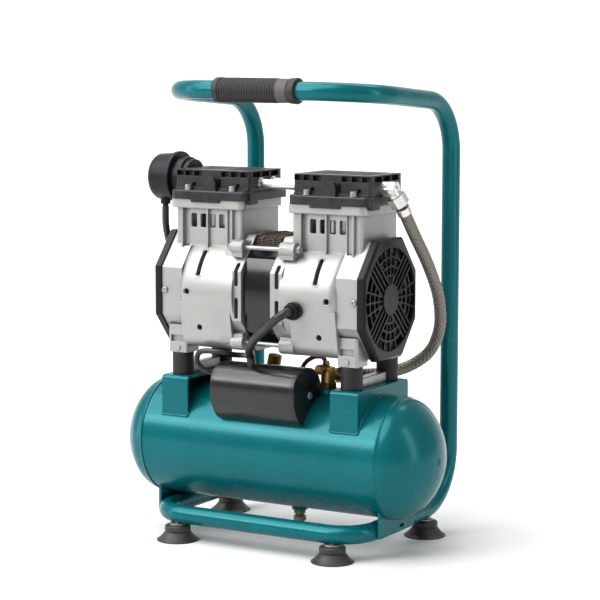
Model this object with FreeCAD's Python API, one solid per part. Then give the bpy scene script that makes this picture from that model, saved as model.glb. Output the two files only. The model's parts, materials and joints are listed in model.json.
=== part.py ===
import FreeCAD, Part
import os, math

# Portable twin-cylinder oil-free air compressor: carrying frame, tank, pump-motor unit, fittings.
# Millimetres, +Z up, X along the tank, +Y towards the frame posts (operator side).
# Shapes are laid out with Y = 0 on the tank axis and the feet standing at z = FLOOR_Z; save()
# shifts them so that the origin is under the middle of the whole object, on the floor.

V = FreeCAD.Vector
os.makedirs("parts", exist_ok=True)

# ---------------------------------------------------------------- driving dimensions
Y_SHIFT = -33.75          # tank axis sits 33.75 mm in front of the object's centre
FLOOR_Z = 3.4             # layout height of the floor
# frame tube
TUBE_R, TUBE_WALL = 9.65, 1.5
RAIL_X = 122.0            # half spacing of rails, posts and arms
BASE_Y, BASE_Z = -62.4, 31.4
BASE_CORNER_R = 35.0
REAR_BEND_R = 60.0
POST_Y = 142.3
TOP_BEND_R = 57.0
ARM_SLOPE = 4.5           # degrees, arms fall towards the posts
HANDLE_Y, HANDLE_Z = -53.5, 477.0
HANDLE_CORNER_R = 62.0
GRIP_LEN, GRIP_R = 97.0, 12.9
# feet
FOOT_R, FOOT_TOP_R, FOOT_H = 22.1, 12.5, 22.35
FEET = [(-93.7, BASE_Y), (93.7, BASE_Y), (-122.0, 87.4), (122.0, 87.4)]
# tank
TANK_R, TANK_WALL, TANK_Z = 62.8, 2.5, 103.95
TANK_HALF, DOME = 139.0, 43.0
# saddle brackets and rubber mounts
BRK_X, BRK_W, BRK_Y, BRK_TOP, BRK_T = 101.7, 32.0, 54.6, 177.1, 3.0
MOUNT_X, MOUNT_Y, MOUNT_R, MOUNT_TOP = 101.7, 38.0, 11.3, 201.0
# pump
AX_Z = 266.5              # crankshaft axis
CYL_X = 71.5              # cylinder centres
OCT_Y, OCT_V, OCT_T, OCT_Z = 56.1, 25.8, 26.0, 61.5   # fan cover octagon
CASE_R = 59.5
BLOCK_TOP, FLANGE_TOP = 353.0, 362.5
CRANK_E = 6.0             # eccentric throw, 12 mm stroke
BORE_R, LINER_R = 23.0, 25.0
HEAD_SHIFT = 3.8          # heads sit 3.8 mm to +X of their cylinders


# ---------------------------------------------------------------- helpers
def save(name, shape):
    s = shape.copy()
    s.translate(V(0, Y_SHIFT, -FLOOR_Z))
    if not s.isValid():
        print("INVALID", name)
    n = len(s.Solids)
    if n == 0:
        raise SystemExit("no solid in " + name)
    s.exportStep("parts/%s.step" % name)
    print("%-26s solids %2d  volume %.1f cm3" % (name, n, s.Volume / 1000.0))


def group(shapes):
    return Part.makeCompound([x for s in shapes for x in s.Solids])


def box(x0, x1, y0, y1, z0, z1):
    return Part.makeBox(x1 - x0, y1 - y0, z1 - z0, V(x0, y0, z0))


def cyl(r, a, b):
    a, b = V(*a), V(*b)
    d = b - a
    return Part.makeCylinder(r, d.Length, a, d)


def pipe(ro, ri, a, b):
    return cyl(ro, a, b).cut(cyl(ri, a, b))


def cone(r0, r1, a, b):
    a, b = V(*a), V(*b)
    d = b - a
    return Part.makeCone(r0, r1, d.Length, a, d)


def fuse(shapes):
    s = shapes[0]
    if len(shapes) > 1:
        s = s.fuse(shapes[1:])
    return s.removeSplitter()


def cuts(s, tools):
    return s.cut(tools) if tools else s


def fil(s, r, pick):
    """fillet the edges pick() accepts, keeping the plain shape if it fails"""
    es = [e for e in s.Edges if pick(e)]
    if not es:
        return s
    try:
        f = s.makeFillet(r, es)
        if f.isValid() and f.Volume > 0:
            return f
    except Exception:
        pass
    out = s
    for e in es:
        try:
            c = [g for g in out.Edges if g.CenterOfMass.distanceToPoint(e.CenterOfMass) < 0.01 and abs(g.Length - e.Length) < 0.01]
            f = out.makeFillet(r, c[:1])
            if f.isValid():
                out = f
        except Exception:
            pass
    return out


def cham(s, r, pick):
    es = [e for e in s.Edges if pick(e)]
    try:
        f = s.makeChamfer(r, es)
        if f.isValid():
            return f
    except Exception:
        pass
    return s


def line_dir(e):
    if len(e.Vertexes) < 2 or not isinstance(e.Curve, (Part.Line,)):
        return None
    d = e.Vertexes[-1].Point - e.Vertexes[0].Point
    if d.Length < 1e-6:
        return None
    return d.normalize()


def along(e, axis):
    d = line_dir(e)
    return d is not None and abs(abs(d.dot(axis)) - 1) < 1e-4


def circ_at(e, axis, pos, coord, tol=0.05):
    """whole or part circle about axis at coordinate pos along coord"""
    c = e.Curve
    if not isinstance(c, Part.Circle):
        return False
    return abs(abs(c.Axis.dot(axis)) - 1) < 1e-4 and abs(getattr(c.Center, coord) - pos) < tol


EX, EY, EZ = V(1, 0, 0), V(0, 1, 0), V(0, 0, 1)


def prism_x(pts, x0, x1):
    """polygon of (y, z) pushed from x0 to x1"""
    w = Part.makePolygon([V(x0, y, z) for y, z in pts] + [V(x0, pts[0][0], pts[0][1])])
    return Part.Face(w).extrude(V(x1 - x0, 0, 0))


def prism_z(pts, z0, z1):
    w = Part.makePolygon([V(x, y, z0) for x, y in pts] + [V(pts[0][0], pts[0][1], z0)])
    return Part.Face(w).extrude(V(0, 0, z1 - z0))


def octagon(dy, dv, dt, dz, zc=AX_Z):
    return [(-dy, zc - dv), (-dt, zc - dz), (dt, zc - dz), (dy, zc - dv), (dy, zc + dv), (dt, zc + dz), (-dt, zc + dz), (-dy, zc + dv)]


def hexa(af, a, b, turn=0.0):
    """hexagonal bar from a to b, af across flats"""
    a, b = V(*a), V(*b)
    d = b - a
    r = af / math.sqrt(3.0)
    pts = [V(r * math.cos(math.radians(60 * i + turn)), r * math.sin(math.radians(60 * i + turn)), 0) for i in range(7)]
    f = Part.Face(Part.makePolygon(pts)).extrude(V(0, 0, d.Length))
    f.Placement = FreeCAD.Placement(a, FreeCAD.Rotation(EZ, d))
    return f


def revolve(profile, centre, axis):
    """closed list of points in a plane through the axis"""
    w = Part.makePolygon([V(*p) for p in profile] + [V(*profile[0])])
    return Part.Face(w).revolve(V(*centre), V(*axis), 360)


def slot_y(cx, cz, length, width, angle, y0, y1):
    """rounded slot through Y, tilted by angle (degrees) from vertical in the XZ plane"""
    h = (length - width) / 2.0
    a = math.radians(angle)
    dx, dz = math.sin(a) * h, math.cos(a) * h
    c1, c2 = (cx - dx, cz - dz), (cx + dx, cz + dz)
    s = cyl(width / 2.0, (c1[0], y0, c1[1]), (c1[0], y1, c1[1])).fuse(cyl(width / 2.0, (c2[0], y0, c2[1]), (c2[0], y1, c2[1])))
    nx, nz = math.cos(a) * width / 2.0, -math.sin(a) * width / 2.0
    w = Part.makePolygon([V(c1[0] - nx, y0, c1[1] - nz), V(c1[0] + nx, y0, c1[1] + nz), V(c2[0] + nx, y0, c2[1] + nz), V(c2[0] - nx, y0, c2[1] - nz), V(c1[0] - nx, y0, c1[1] - nz)])
    return s.fuse(Part.Face(w).extrude(V(0, y1 - y0, 0)))


def route(points, r, label, ri=0.0):
    """flexible line: straight runs joined by tangent arcs, each arc as large as its runs allow"""
    P = [V(*p) for p in points]
    edges, last, length, radii = [], P[0], 0.0, []
    for i in range(1, len(P) - 1):
        a, k, b = P[i - 1], P[i], P[i + 1]
        d1, d2 = (k - a), (b - k)
        l1, l2 = d1.Length, d2.Length
        d1.normalize()
        d2.normalize()
        turn = math.acos(max(-1, min(1, d1.dot(d2))))
        t = 0.45 * min(l1, l2)
        R = t / math.tan(turn / 2.0)
        radii.append(R)
        s, e = k - d1 * t, k + d2 * t
        bis = (d2 - d1).normalize()
        centre = k + bis * (R / math.cos(turn / 2.0))
        mid = centre - bis * R
        edges.append(Part.LineSegment(last, s).toShape())
        edges.append(Part.Arc(s, mid, e).toShape())
        length += (s - last).Length + R * turn
        last = e
    edges.append(Part.LineSegment(last, P[-1]).toShape())
    length += (P[-1] - last).Length
    w = Part.Wire(edges)

    def sweep(rad):
        c = Part.Wire(Part.makeCircle(rad, P[0], (P[1] - P[0])))
        return w.makePipeShell([c], True, False)
    s = sweep(r)
    if ri > 0:
        s = s.cut(sweep(ri))
    want = math.pi * (r * r - ri * ri) * length
    print("route %s: length %.1f, radii %s, volume ratio %.4f" % (label, length, [round(x, 1) for x in radii], s.Volume / want))
    return s


# ---------------------------------------------------------------- carrying frame
def frame_wire():
    c, s = math.cos(math.radians(ARM_SLOPE)), math.sin(math.radians(ARM_SLOPE))
    u = V(0, c, -s)                      # direction of the arms, towards the posts
    L = (POST_Y - HANDLE_Y) / c
    turn = math.radians(90 - ARM_SLOPE)
    tl = TOP_BEND_R * math.tan(turn / 2)
    H = V(0, HANDLE_Y, HANDLE_Z)
    es = []

    def arc(p, k, q, R):
        d1, d2 = (k - p).normalize(), (q - k).normalize()
        t = R * math.tan(math.acos(d1.dot(d2)) / 2)
        a, b = k - d1 * t, k + d2 * t
        bis = (d2 - d1).normalize()
        half = math.acos(d1.dot(d2)) / 2
        cen = k + bis * (R / math.cos(half))
        return a, cen - bis * R, b
    corners = []
    for sx in (1, -1):
        X = RAIL_X * sx
        corners.append([(H + V(X, 0, 0), HANDLE_CORNER_R), (H + V(X, 0, 0) + u * L, TOP_BEND_R), (V(X, POST_Y, BASE_Z), REAR_BEND_R), (V(X, BASE_Y, BASE_Z), BASE_CORNER_R)])
    pts = [(H + V(0.3, 0, 0), 0)] + corners[0] + list(reversed(corners[1])) + [(H - V(0.3, 0, 0), 0)]
    last = pts[0][0]
    for i in range(1, len(pts) - 1):
        a, m, b = arc(pts[i - 1][0], pts[i][0], pts[i + 1][0], pts[i][1])
        es.append(Part.LineSegment(last, a).toShape())
        es.append(Part.Arc(a, m, b).toShape())
        last = b
    es.append(Part.LineSegment(last, pts[-1][0]).toShape())
    return Part.Wire(es), pts[0][0]


fw, fstart = frame_wire()


def frame_sweep(r):
    return fw.makePipeShell([Part.Wire(Part.makeCircle(r, fstart, EX))], True, False)


tube = frame_sweep(TUBE_R).cut(frame_sweep(TUBE_R - TUBE_WALL))
for fx, fy in FEET:
    tube = tube.cut(cyl(3.15, (fx, fy, 15), (fx, fy, 28)))
save("frame_tube", tube)

# ribbed rubber grip: end collars, fine ribs, one smooth band
gx0, gx1 = -GRIP_LEN / 2, GRIP_LEN / 2
prof = [(gx0, 9.7), (gx0, 12.2), (gx0 + 1, GRIP_R), (gx0 + 6.5, GRIP_R), (gx0 + 6.5, 12.0)]
x = gx0 + 8.0
while x < gx1 - 24.0:
    prof += [(x, 12.0), (x + 0.7, 12.7), (x + 1.5, 12.7), (x + 2.2, 12.0)]
    x += 3.0
prof += [(gx1 - 22.5, 12.0), (gx1 - 22.0, 12.3), (gx1 - 9.0, 12.3), (gx1 - 8.0, GRIP_R), (gx1 - 1.2, GRIP_R + 0.5), (gx1, GRIP_R), (gx1, 9.7)]
grip = revolve([(px, HANDLE_Y, HANDLE_Z + pr) for px, pr in prof], (0, HANDLE_Y, HANDLE_Z), (1, 0, 0))
save("handle_grip", grip)

# cone shaped rubber feet with a hollow sole, each with a stud and a washer under the tube
feet, fscrews = [], []
for fx, fy in FEET:
    p = [(0, 0, 8.0), (9.0, 0, 6.6), (19.0, 0, 3.4), (FOOT_R, 0, 3.4), (FOOT_R, 0, 4.5), (20.8, 0, 5.2), (17.6, 0, 8.0), (15.4, 0, 10.6), (14.2, 0, 12.2), (13.0, 0, 12.9),
         (13.0, 0, 13.6), (13.7, 0, 14.2), (13.7, 0, 18.6), (12.6, 0, 19.6), (9.4, 0, 20.3), (0, 0, 20.3)]
    f = revolve(p, (0, 0, 0), (0, 0, 1)).cut(cyl(3.05, (0, 0, 10.5), (0, 0, 30)))
    f.translate(V(fx, fy, 0))
    feet.append(f)
    sc = fuse([cyl(3.0, (0, 0, 10.8), (0, 0, 27.0)), pipe(8.5, 2.9, (0, 0, 20.35), (0, 0, 21.7))])
    sc.translate(V(fx, fy, 0))
    fscrews.append(sc)
save("rubber_feet", group(feet))
save("foot_studs", group(fscrews))

# ---------------------------------------------------------------- tank
shell = pipe(TANK_R, TANK_R - TANK_WALL, (-TANK_HALF, 0, TANK_Z), (TANK_HALF, 0, TANK_Z))
CV = (55.0, -4.0)         # check valve port
SV = (-22.0, 5.0)         # safety valve port
SV_TILT = 12.0
MAN_X, MAN_Z = -25.0, 128.0   # rear outlet port
DR_X = 19.0               # drain port


def tilted(s):
    s = s.copy()
    s.rotate(V(SV[0], SV[1], 160), EY, SV_TILT)
    return s


bosses = [pipe(10.5, 5.0, (CV[0], CV[1], 160), (CV[0], CV[1], 170.0)),
          tilted(pipe(9.0, 4.0, (SV[0], SV[1], 160), (SV[0], SV[1], 169.5))),
          pipe(10.0, 5.0, (MAN_X, 52, MAN_Z), (MAN_X, 66, MAN_Z)),
          pipe(8.5, 4.0, (DR_X, 0, 47), (DR_X, 0, 37.5))]
inner = cyl(TANK_R - TANK_WALL, (-TANK_HALF, 0, TANK_Z), (TANK_HALF, 0, TANK_Z))
bores = [cyl(5.0, (CV[0], CV[1], 155), (CV[0], CV[1], 175)), tilted(cyl(4.0, (SV[0], SV[1], 150), (SV[0], SV[1], 175))),
         cyl(5.0, (MAN_X, 45, MAN_Z), (MAN_X, 70, MAN_Z)), cyl(4.0, (DR_X, 0, 50), (DR_X, 0, 35))]
shell = fuse([shell] + [b.cut(inner) for b in bosses]).cut(bores)
save("tank_shell", shell)


HEAD_KNUCKLE = 26.0
_h = TANK_R - HEAD_KNUCKLE
HEAD_CROWN = (DOME ** 2 + _h ** 2 - HEAD_KNUCKLE ** 2) / (2.0 * (DOME - HEAD_KNUCKLE))


def head_dome(sx):
    """dished head: crown and knuckle arcs, tangent to each other and to the shell"""
    kc = V(TANK_HALF, 0, TANK_Z + _h)
    cc = V(TANK_HALF + DOME - HEAD_CROWN, 0, TANK_Z)
    d = (kc - cc).normalize()

    def section(off):
        top = kc + V(0, 0, HEAD_KNUCKLE - off)
        tan = kc + d * (HEAD_KNUCKLE - off)
        tip = cc + V(HEAD_CROWN - off, 0, 0)
        m1 = (V(0, 0, 1) + d).normalize()
        m2 = (V(1, 0, 0) + d).normalize()
        return top, tip, [Part.Arc(top, kc + m1 * (HEAD_KNUCKLE - off), tan).toShape(), Part.Arc(tan, cc + m2 * (HEAD_CROWN - off), tip).toShape()]
    to, ao, eo = section(0.0)
    ti, ai, ei = section(TANK_WALL)
    w = Part.Wire(Part.__sortEdges__(eo + [Part.LineSegment(ao, ai).toShape()] + ei + [Part.LineSegment(ti, to).toShape()]))
    s = Part.Face(w).revolve(V(0, 0, TANK_Z), EX, 360)
    r = TANK_R
    bead = revolve([(TANK_HALF, 0, TANK_Z + r - 0.6), (TANK_HALF, 0, TANK_Z + r + 0.9), (TANK_HALF + 1.2, 0, TANK_Z + r + 0.8), (TANK_HALF + 2.6, 0, TANK_Z + r - 0.2), (TANK_HALF + 2.6, 0, TANK_Z + r - 0.6)],
                   (0, 0, TANK_Z), (1, 0, 0))
    s = s.fuse(bead).removeSplitter()
    if sx < 0:
        s = s.mirror(V(0, 0, 0), EX)
    return s


save("tank_heads", group([head_dome(1), head_dome(-1)]))

tank_solid = cyl(TANK_R + 0.02, (-150, 0, TANK_Z), (150, 0, TANK_Z))
# cradle plates: stand outside the side rails and follow the tank's round
plates = []
for sx in (1, -1):
    x0 = RAIL_X + TUBE_R + 0.1
    p = box(x0, x0 + 3.0, -37, 37, 26.0, 60.0)
    p = fil(p, 8.0, lambda e: along(e, EX) and e.CenterOfMass.z < 26)
    p = p.cut(tank_solid).cut(box(x0 - 1, x0 + 4, 5.5, 14.5, 30.0, 33.6))
    top = [s for s in p.Solids]
    p = max(top, key=lambda s: s.Volume)
    if sx < 0:
        p = p.mirror(V(0, 0, 0), EX)
    plates.append(p)
save("tank_cradle_plates", group(plates))

# saddle brackets: bent strips welded over the tank
brk = []
for sx in (1, -1):
    a, b = BRK_X * sx - BRK_W / 2, BRK_X * sx + BRK_W / 2
    o = box(a, b, -BRK_Y, BRK_Y, 128, BRK_TOP)
    o = fil(o, 4.0, lambda e: along(e, EX) and e.CenterOfMass.z > 170)
    i = box(a - 1, b + 1, -BRK_Y + BRK_T, BRK_Y - BRK_T, 120, BRK_TOP - BRK_T)
    i = fil(i, 1.2, lambda e: along(e, EX) and e.CenterOfMass.z > 170)
    web = box(b - BRK_T, b, -BRK_Y + 1, BRK_Y - 1, 140, BRK_TOP - 1) if sx > 0 else box(a, a + BRK_T, -BRK_Y + 1, BRK_Y - 1, 140, BRK_TOP - 1)
    s = o.cut(i).fuse(web).removeSplitter().cut(cyl(TANK_R + 0.02, (a - 5, 0, TANK_Z), (b + 5, 0, TANK_Z)))
    for my in (-MOUNT_Y, MOUNT_Y):
        s = s.cut(cyl(3.2, (MOUNT_X * sx, my, 160), (MOUNT_X * sx, my, 190)))
    s = max(s.Solids, key=lambda q: q.Volume)
    brk.append(s)
save("saddle_brackets", group(brk))

bars = [box(BRK_X * sx - 5, BRK_X * sx + 5, -26.4, 26.4, BRK_TOP, BRK_TOP + 10) for sx in (1, -1)]
bars = [fil(b, 1.0, lambda e: along(e, EY)) for b in bars]
save("mount_bars", group(bars))

mounts, studs = [], []
for sx in (1, -1):
    for my in (-MOUNT_Y, MOUNT_Y):
        X = MOUNT_X * sx
        m = cyl(MOUNT_R, (X, my, BRK_TOP), (X, my, MOUNT_TOP))
        m = fil(m, 1.0, lambda e: circ_at(e, EZ, MOUNT_TOP, 'z') or circ_at(e, EZ, BRK_TOP, 'z'))
        m = m.cut([cyl(3.02, (X, my, BRK_TOP - 1), (X, my, BRK_TOP + 8)), cyl(3.02, (X, my, MOUNT_TOP - 7), (X, my, MOUNT_TOP + 1))])
        mounts.append(m)
        studs.append(fuse([cyl(3.0, (X, my, 166.0), (X, my, BRK_TOP + 7.9)), hexa(10, (X, my, 169.2), (X, my, BRK_TOP - BRK_T))]))
        studs.append(cyl(3.0, (X, my, MOUNT_TOP - 6.9), (X, my, MOUNT_TOP + 11)))
save("rubber_mounts", group(mounts))
save("mount_studs", group(studs))

# ---------------------------------------------------------------- crankcases
TIE = [(-45.0, AX_Z + 49.5), (45.0, AX_Z + 49.5), (-45.0, AX_Z - 49.5), (45.0, AX_Z - 49.5)]
WIN_X = [54.6, 66.1, 77.6, 89.1]


SK_Y, SK_Z, SK_R = 36.5, 223.6, 16.0     # rounded lower corners of the crankcase


def skirt(sy, x0, x1):
    """lower corner of a crankcase: flat sides running off the barrel into a rounded edge"""
    big = CASE_R - 0.5
    dy, dz = sy * SK_Y, SK_Z - AX_Z
    d = math.hypot(dy, dz)
    base = math.atan2(dz, dy)
    th = math.acos((big - SK_R) / d)
    p = []
    for a in (base - th, base + th):
        p.append((V(0, big * math.cos(a), AX_Z + big * math.sin(a)), V(0, dy + SK_R * math.cos(a), SK_Z + SK_R * math.sin(a))))
    mid = V(0, dy + SK_R * math.cos(base), SK_Z + SK_R * math.sin(base))
    core = V(0, sy * 3.0, AX_Z - 4.0)
    e = [Part.LineSegment(core, p[0][0]).toShape(), Part.LineSegment(p[0][0], p[0][1]).toShape(), Part.Arc(p[0][1], mid, p[1][1]).toShape(),
         Part.LineSegment(p[1][1], p[1][0]).toShape(), Part.LineSegment(p[1][0], core).toShape()]
    f = Part.Face(Part.Wire(Part.__sortEdges__(e)))
    f.translate(V(min(x0, x1), 0, 0))
    return f.extrude(V(abs(x1 - x0), 0, 0))


def crankcase(sx, f_in, f_out, lug, slot_c, holes):
    def bx(x0, x1, *r):
        return box(x0, x1, *r) if sx > 0 else box(-x1, -x0, *r)

    def cx(r, x0, x1, y, z):
        return cyl(r, (sx * x0, y, z), (sx * x1, y, z))

    def px(pts, x0, x1):
        return prism_x(pts, sx * x0, sx * x1)
    # faceted end, round barrel, motor flange
    oct_in = octagon(OCT_Y - 1.6, OCT_V - 0.6, OCT_T - 0.8, OCT_Z - 1.7)
    parts = [fil(px(oct_in, 92.0, 117.0), 2.0, lambda e: along(e, EX))]
    barrel = revolve([(sx * 28.0, 0, AX_Z), (sx * 28.0, 0, AX_Z + CASE_R), (sx * 85.5, 0, AX_Z + CASE_R), (sx * 89.5, 0, AX_Z + CASE_R - 0.9), (sx * 92.4, 0, AX_Z + CASE_R - 2.8), (sx * 94.2, 0, AX_Z + CASE_R - 5.6), (sx * 94.2, 0, AX_Z)],
                     (0, 0, AX_Z), (1, 0, 0))
    parts.append(barrel)
    parts.append(fil(px(octagon(OCT_Y, OCT_V, OCT_T, OCT_Z - 1), f_in, f_out), 1.5, lambda e: along(e, EX)))
    # cylinder block and its flange
    blk = bx(30.0, 111.5, -35.0, 40.0, 285.0, BLOCK_TOP + 1)
    blk = fil(blk, 3.0, lambda e: along(e, EZ))
    parts.append(blk)
    fl = bx(26.0, 117.0, -40.0, 43.0, BLOCK_TOP, FLANGE_TOP)
    fl = fil(fl, 8.0, lambda e: along(e, EZ))
    fl = fil(fl, 1.6, lambda e: e.CenterOfMass.z < BLOCK_TOP + 0.1 and e.BoundBox.ZLength < 0.01)
    parts.append(fl)
    # vertical ribs on the front and back of the block
    for rx in (41.2, 71.0, 102.4):
        parts.append(bx(rx - 1.0, rx + 1.0, -38.2, -33.0, 296.0, BLOCK_TOP + 0.5))
        parts.append(bx(rx - 1.0, rx + 1.0, 37.0, 42.0, 323.0, BLOCK_TOP + 0.5))
    # tie rod lugs, with the lower ones run out as rails to the feet
    for ty, tz in TIE:
        sy = 1 if ty > 0 else -1
        if tz > AX_Z:
            parts.append(cx(7.6, lug[0], lug[1], ty, tz))
            parts.append(px([(ty * 0.60, tz - 16), (ty * 1.10, tz - 10), (ty * 1.13, tz), (ty * 0.66, tz + 6)], lug[0] + 1.0, lug[1] - 1.5))
        else:
            parts.append(cx(8.2, lug[0], lug[1], ty, tz))
            parts.append(px([(ty * 0.60, tz + 16), (ty * 1.12, tz + 9), (ty * 1.12, tz), (ty * 0.66, tz - 6)], lug[0] + 0.5, lug[1] - 1.0))
            parts.append(skirt(sy, sx * (lug[1] - 2.0), sx * 93.0))
    # feet with a pocket above the pad
    for sy in (1, -1):
        y0, y1 = (24.0, 48.4) if sy > 0 else (-48.4, -24.0)
        pad = bx(90.0, 113.6, y0, y1, MOUNT_TOP + 0.15, MOUNT_TOP + 29.5)
        pad = fil(pad, 3.0, lambda e: along(e, EZ))
        pad = pad.cut(bx(94.0, 110.0, (y1 - 3.0) if sy > 0 else (y0 - 1.0), (y1 + 1.0) if sy > 0 else (y0 + 3.0), 212.5, 219.5))
        parts.append(pad)
        parts.append(cyl(2.9, (sx * 101.5, sy * 48.0, 206.0), (sx * 101.5, sy * 49.6, 206.0)))
    s = fuse(parts)
    # hollows: fan chamber, crank chamber, motor end, cylinder block
    cutters = [cx(50.5, 95.5, 118.0, 0, AX_Z), cx(54.0, 34.0, 92.0, 0, AX_Z), cx(30.0, 91.0, 96.0, 0, AX_Z),
               cx(46.0, f_in - 1.0, 24.0, 0, AX_Z), cx(16.0, 24.5, 34.5, 0, AX_Z), cx(8.0, 20.0, 40.0, 0, AX_Z),
               bx(34.0, 107.5, -32.0, 37.0, 328.0, 349.0),
               cyl(LINER_R + 0.04, (sx * CYL_X, 0, 300), (sx * CYL_X, 0, FLANGE_TOP + 1))]
    for wx in WIN_X:
        for w0, w1 in ((-36.5, -30.0), (35.0, 42.0)):
            w = bx(wx - 3.6, wx + 3.6, w0, w1, 333.0, 347.6)
            cutters.append(fil(w, 1.8, lambda e: along(e, EY)))
    # recessed strips beside the window panel
    for g0, g1 in ((42.2, 47.8), (94.2, 101.4)):
        cutters.append(bx(g0, g1, -36.0, -33.2, 300.0, BLOCK_TOP - 0.5))
    # head screw holes, tie rod holes, stud holes
    for hx, hy in HEAD_BOLTS:
        cutters.append(cyl(2.0, (sx * CYL_X + HEAD_SHIFT + hx, hy, 353.8), (sx * CYL_X + HEAD_SHIFT + hx, hy, FLANGE_TOP + 2)))
    for ty, tz in TIE:
        cutters.append(cyl(2.6, (sx * (f_in - 2), ty, tz), (sx * (lug[1] + 2), ty, tz)))
        if tz < AX_Z:
            cutters.append(cyl(5.0, (sx * lug[1], ty, tz), (sx * (lug[1] + 9), ty, tz)))
    for sy in (1, -1):
        cutters.append(cyl(3.1, (sx * MOUNT_X, sy * MOUNT_Y, MOUNT_TOP - 1), (sx * MOUNT_X, sy * MOUNT_Y, MOUNT_TOP + 11.5)))
        cutters.append(cyl(1.7, (sx * 113.0, sy * 49.0, 267.5), (sx * 113.0, sy * 60.0, 267.5)))
    # openings in the barrel front and the flange edge
    cutters.append(slot_y(slot_c[0], slot_c[1], 26.0, 5.0, 1.0, -62, -36))
    for hx, hz, hr in holes:
        cutters.append(cyl(hr, (hx, -62, hz), (hx, -40, hz)))
    fx = sx * (f_in + f_out) / 2.0 + sx * 0.6
    cutters.append(slot_y(fx, 288.0, 24.0, 4.4, 0.0, -58, -40))
    cutters.append(slot_y(fx, 253.5, 22.0, 4.4, 0.0, -58, -40))
    cutters.append(slot_y(fx, 288.0, 24.0, 4.4, 0.0, 40, 58))
    cutters.append(slot_y(fx, 253.5, 22.0, 4.4, 0.0, 40, 58))
    s = s.cut(cutters)
    s = max(s.Solids, key=lambda q: q.Volume)
    return s


HEAD_BOLTS = [(-27.0, -37.2), (27.0, -37.2), (-27.0, 38.5), (27.0, 38.5)]
GL_X, GL_Z = 47.0, 256.0
case_l = crankcase(-1, 18.6, 29.5, (20.0, 34.0), (-70.8, 297.2), [(-83.1, 268.0, 3.1), (-70.7, 230.5, 3.1)])
case_r = crankcase(1, 16.2, 30.4, (24.0, 41.5), (69.6, 295.6), [(83.8, 267.4, 3.1), (72.3, 229.6, 3.1), (GL_X, GL_Z, 5.6)])
# breather port in the back of the left crankcase
BR_X, BR_Z = -80.0, 262.0
case_l = case_l.cut(cyl(2.6, (BR_X, 50, BR_Z), (BR_X, 62, BR_Z)))
save("crankcase_left", case_l)
save("crankcase_right", case_r)

# ---------------------------------------------------------------- motor
STX0, STX1 = -18.5, 16.1
stp = [(52, 16.3), (45, 38.5), (32, 49.5), (-32, 49.5), (-45, 38.5), (-52, 16.3), (-52, -16.3), (-45, -38.5), (-32, -49.5), (32, -49.5), (45, -38.5), (52, -16.3)]
stator = prism_x([(a, AX_Z + b) for a, b in stp], STX0, STX1).cut(cyl(27.6, (STX0 - 1, 0, AX_Z), (STX1 + 1, 0, AX_Z)))
slots = []
for i in range(12):
    sl = prism_x([(-3.2, AX_Z + 30.5), (3.2, AX_Z + 30.5), (4.4, AX_Z + 40), (-4.4, AX_Z + 40)], STX0 - 1, STX1 + 1)
    sl.rotate(V(0, 0, AX_Z), EX, 30 * i + 15)
    slots.append(sl)
stator = stator.cut(slots)
for ty, tz in TIE:
    pass
save("stator_core", stator)
wind = []
for x0, x1 in ((STX0 - 5.2, STX0), (STX1, STX1 + 5.2)):
    wr = pipe(42.5, 30.6, (x0, 0, AX_Z), (x1, 0, AX_Z))
    wind.append(wr)
hump = prism_x([(-30, AX_Z + 49.6), (30, AX_Z + 49.6), (27, AX_Z + 57), (20, AX_Z + 60.5), (-20, AX_Z + 60.5), (-27, AX_Z + 57)], STX0 + 2.5, STX1 - 2.5)
hump = fil(hump, 1.8, lambda e: e.CenterOfMass.z > AX_Z + 50)
wind.append(hump)
save("stator_windings", group(wind))

rotor = pipe(27.0, 6.0, (STX0 + 0.5, 0, AX_Z), (STX1 - 0.5, 0, AX_Z))
save("rotor_core", rotor)
shaft_parts = [cyl(5.96, (-115.5, 0, AX_Z), (115.5, 0, AX_Z))]
for sx, up in ((-1, 1), (1, -1)):
    shaft_parts.append(cyl(12.2, (sx * (CYL_X - 5), 0, AX_Z + up * CRANK_E), (sx * (CYL_X + 5), 0, AX_Z + up * CRANK_E)))
    w = prism_x([(-20, AX_Z - up * 2), (20, AX_Z - up * 2), (14, AX_Z - up * 24), (-14, AX_Z - up * 24)], sx * (CYL_X - 14), sx * (CYL_X - 8))
    shaft_parts.append(w)
save("crankshaft", fuse(shaft_parts))
pinb, mainb = [], []
for sx, up in ((-1, 1), (1, -1)):
    pinb.append(pipe(17.0, 12.25, (sx * (CYL_X - 4.5), 0, AX_Z + up * CRANK_E), (sx * (CYL_X + 4.5), 0, AX_Z + up * CRANK_E)))
    mainb.append(pipe(15.98, 6.02, (sx * 24.6, 0, AX_Z), (sx * 34.4, 0, AX_Z)))
save("crank_pin_bearings", group(pinb))
save("main_bearings", group(mainb))


# cooling fans at both shaft ends
def fan(sx):
    hub = pipe(13.0, 5.98, (sx * 100.5, 0, AX_Z), (sx * 114.5, 0, AX_Z))
    bl = [hub]
    for i in range(7):
        b = box(-6.2, 6.2, -1.1, 1.1, 11.0, 47.0)
        b.rotate(V(0, 0, 0), EZ, 38 * sx)
        b.translate(V(sx * 107.5, 0, 0))
        b.rotate(V(0, 0, 0), EX, 360.0 * i / 7)
        b.translate(V(0, 0, AX_Z))
        bl.append(b)
    f = fuse(bl).cut(cyl(5.98, (sx * 95, 0, AX_Z), (sx * 120, 0, AX_Z)))
    return f


save("cooling_fans", group([fan(-1), fan(1)]))


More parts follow.
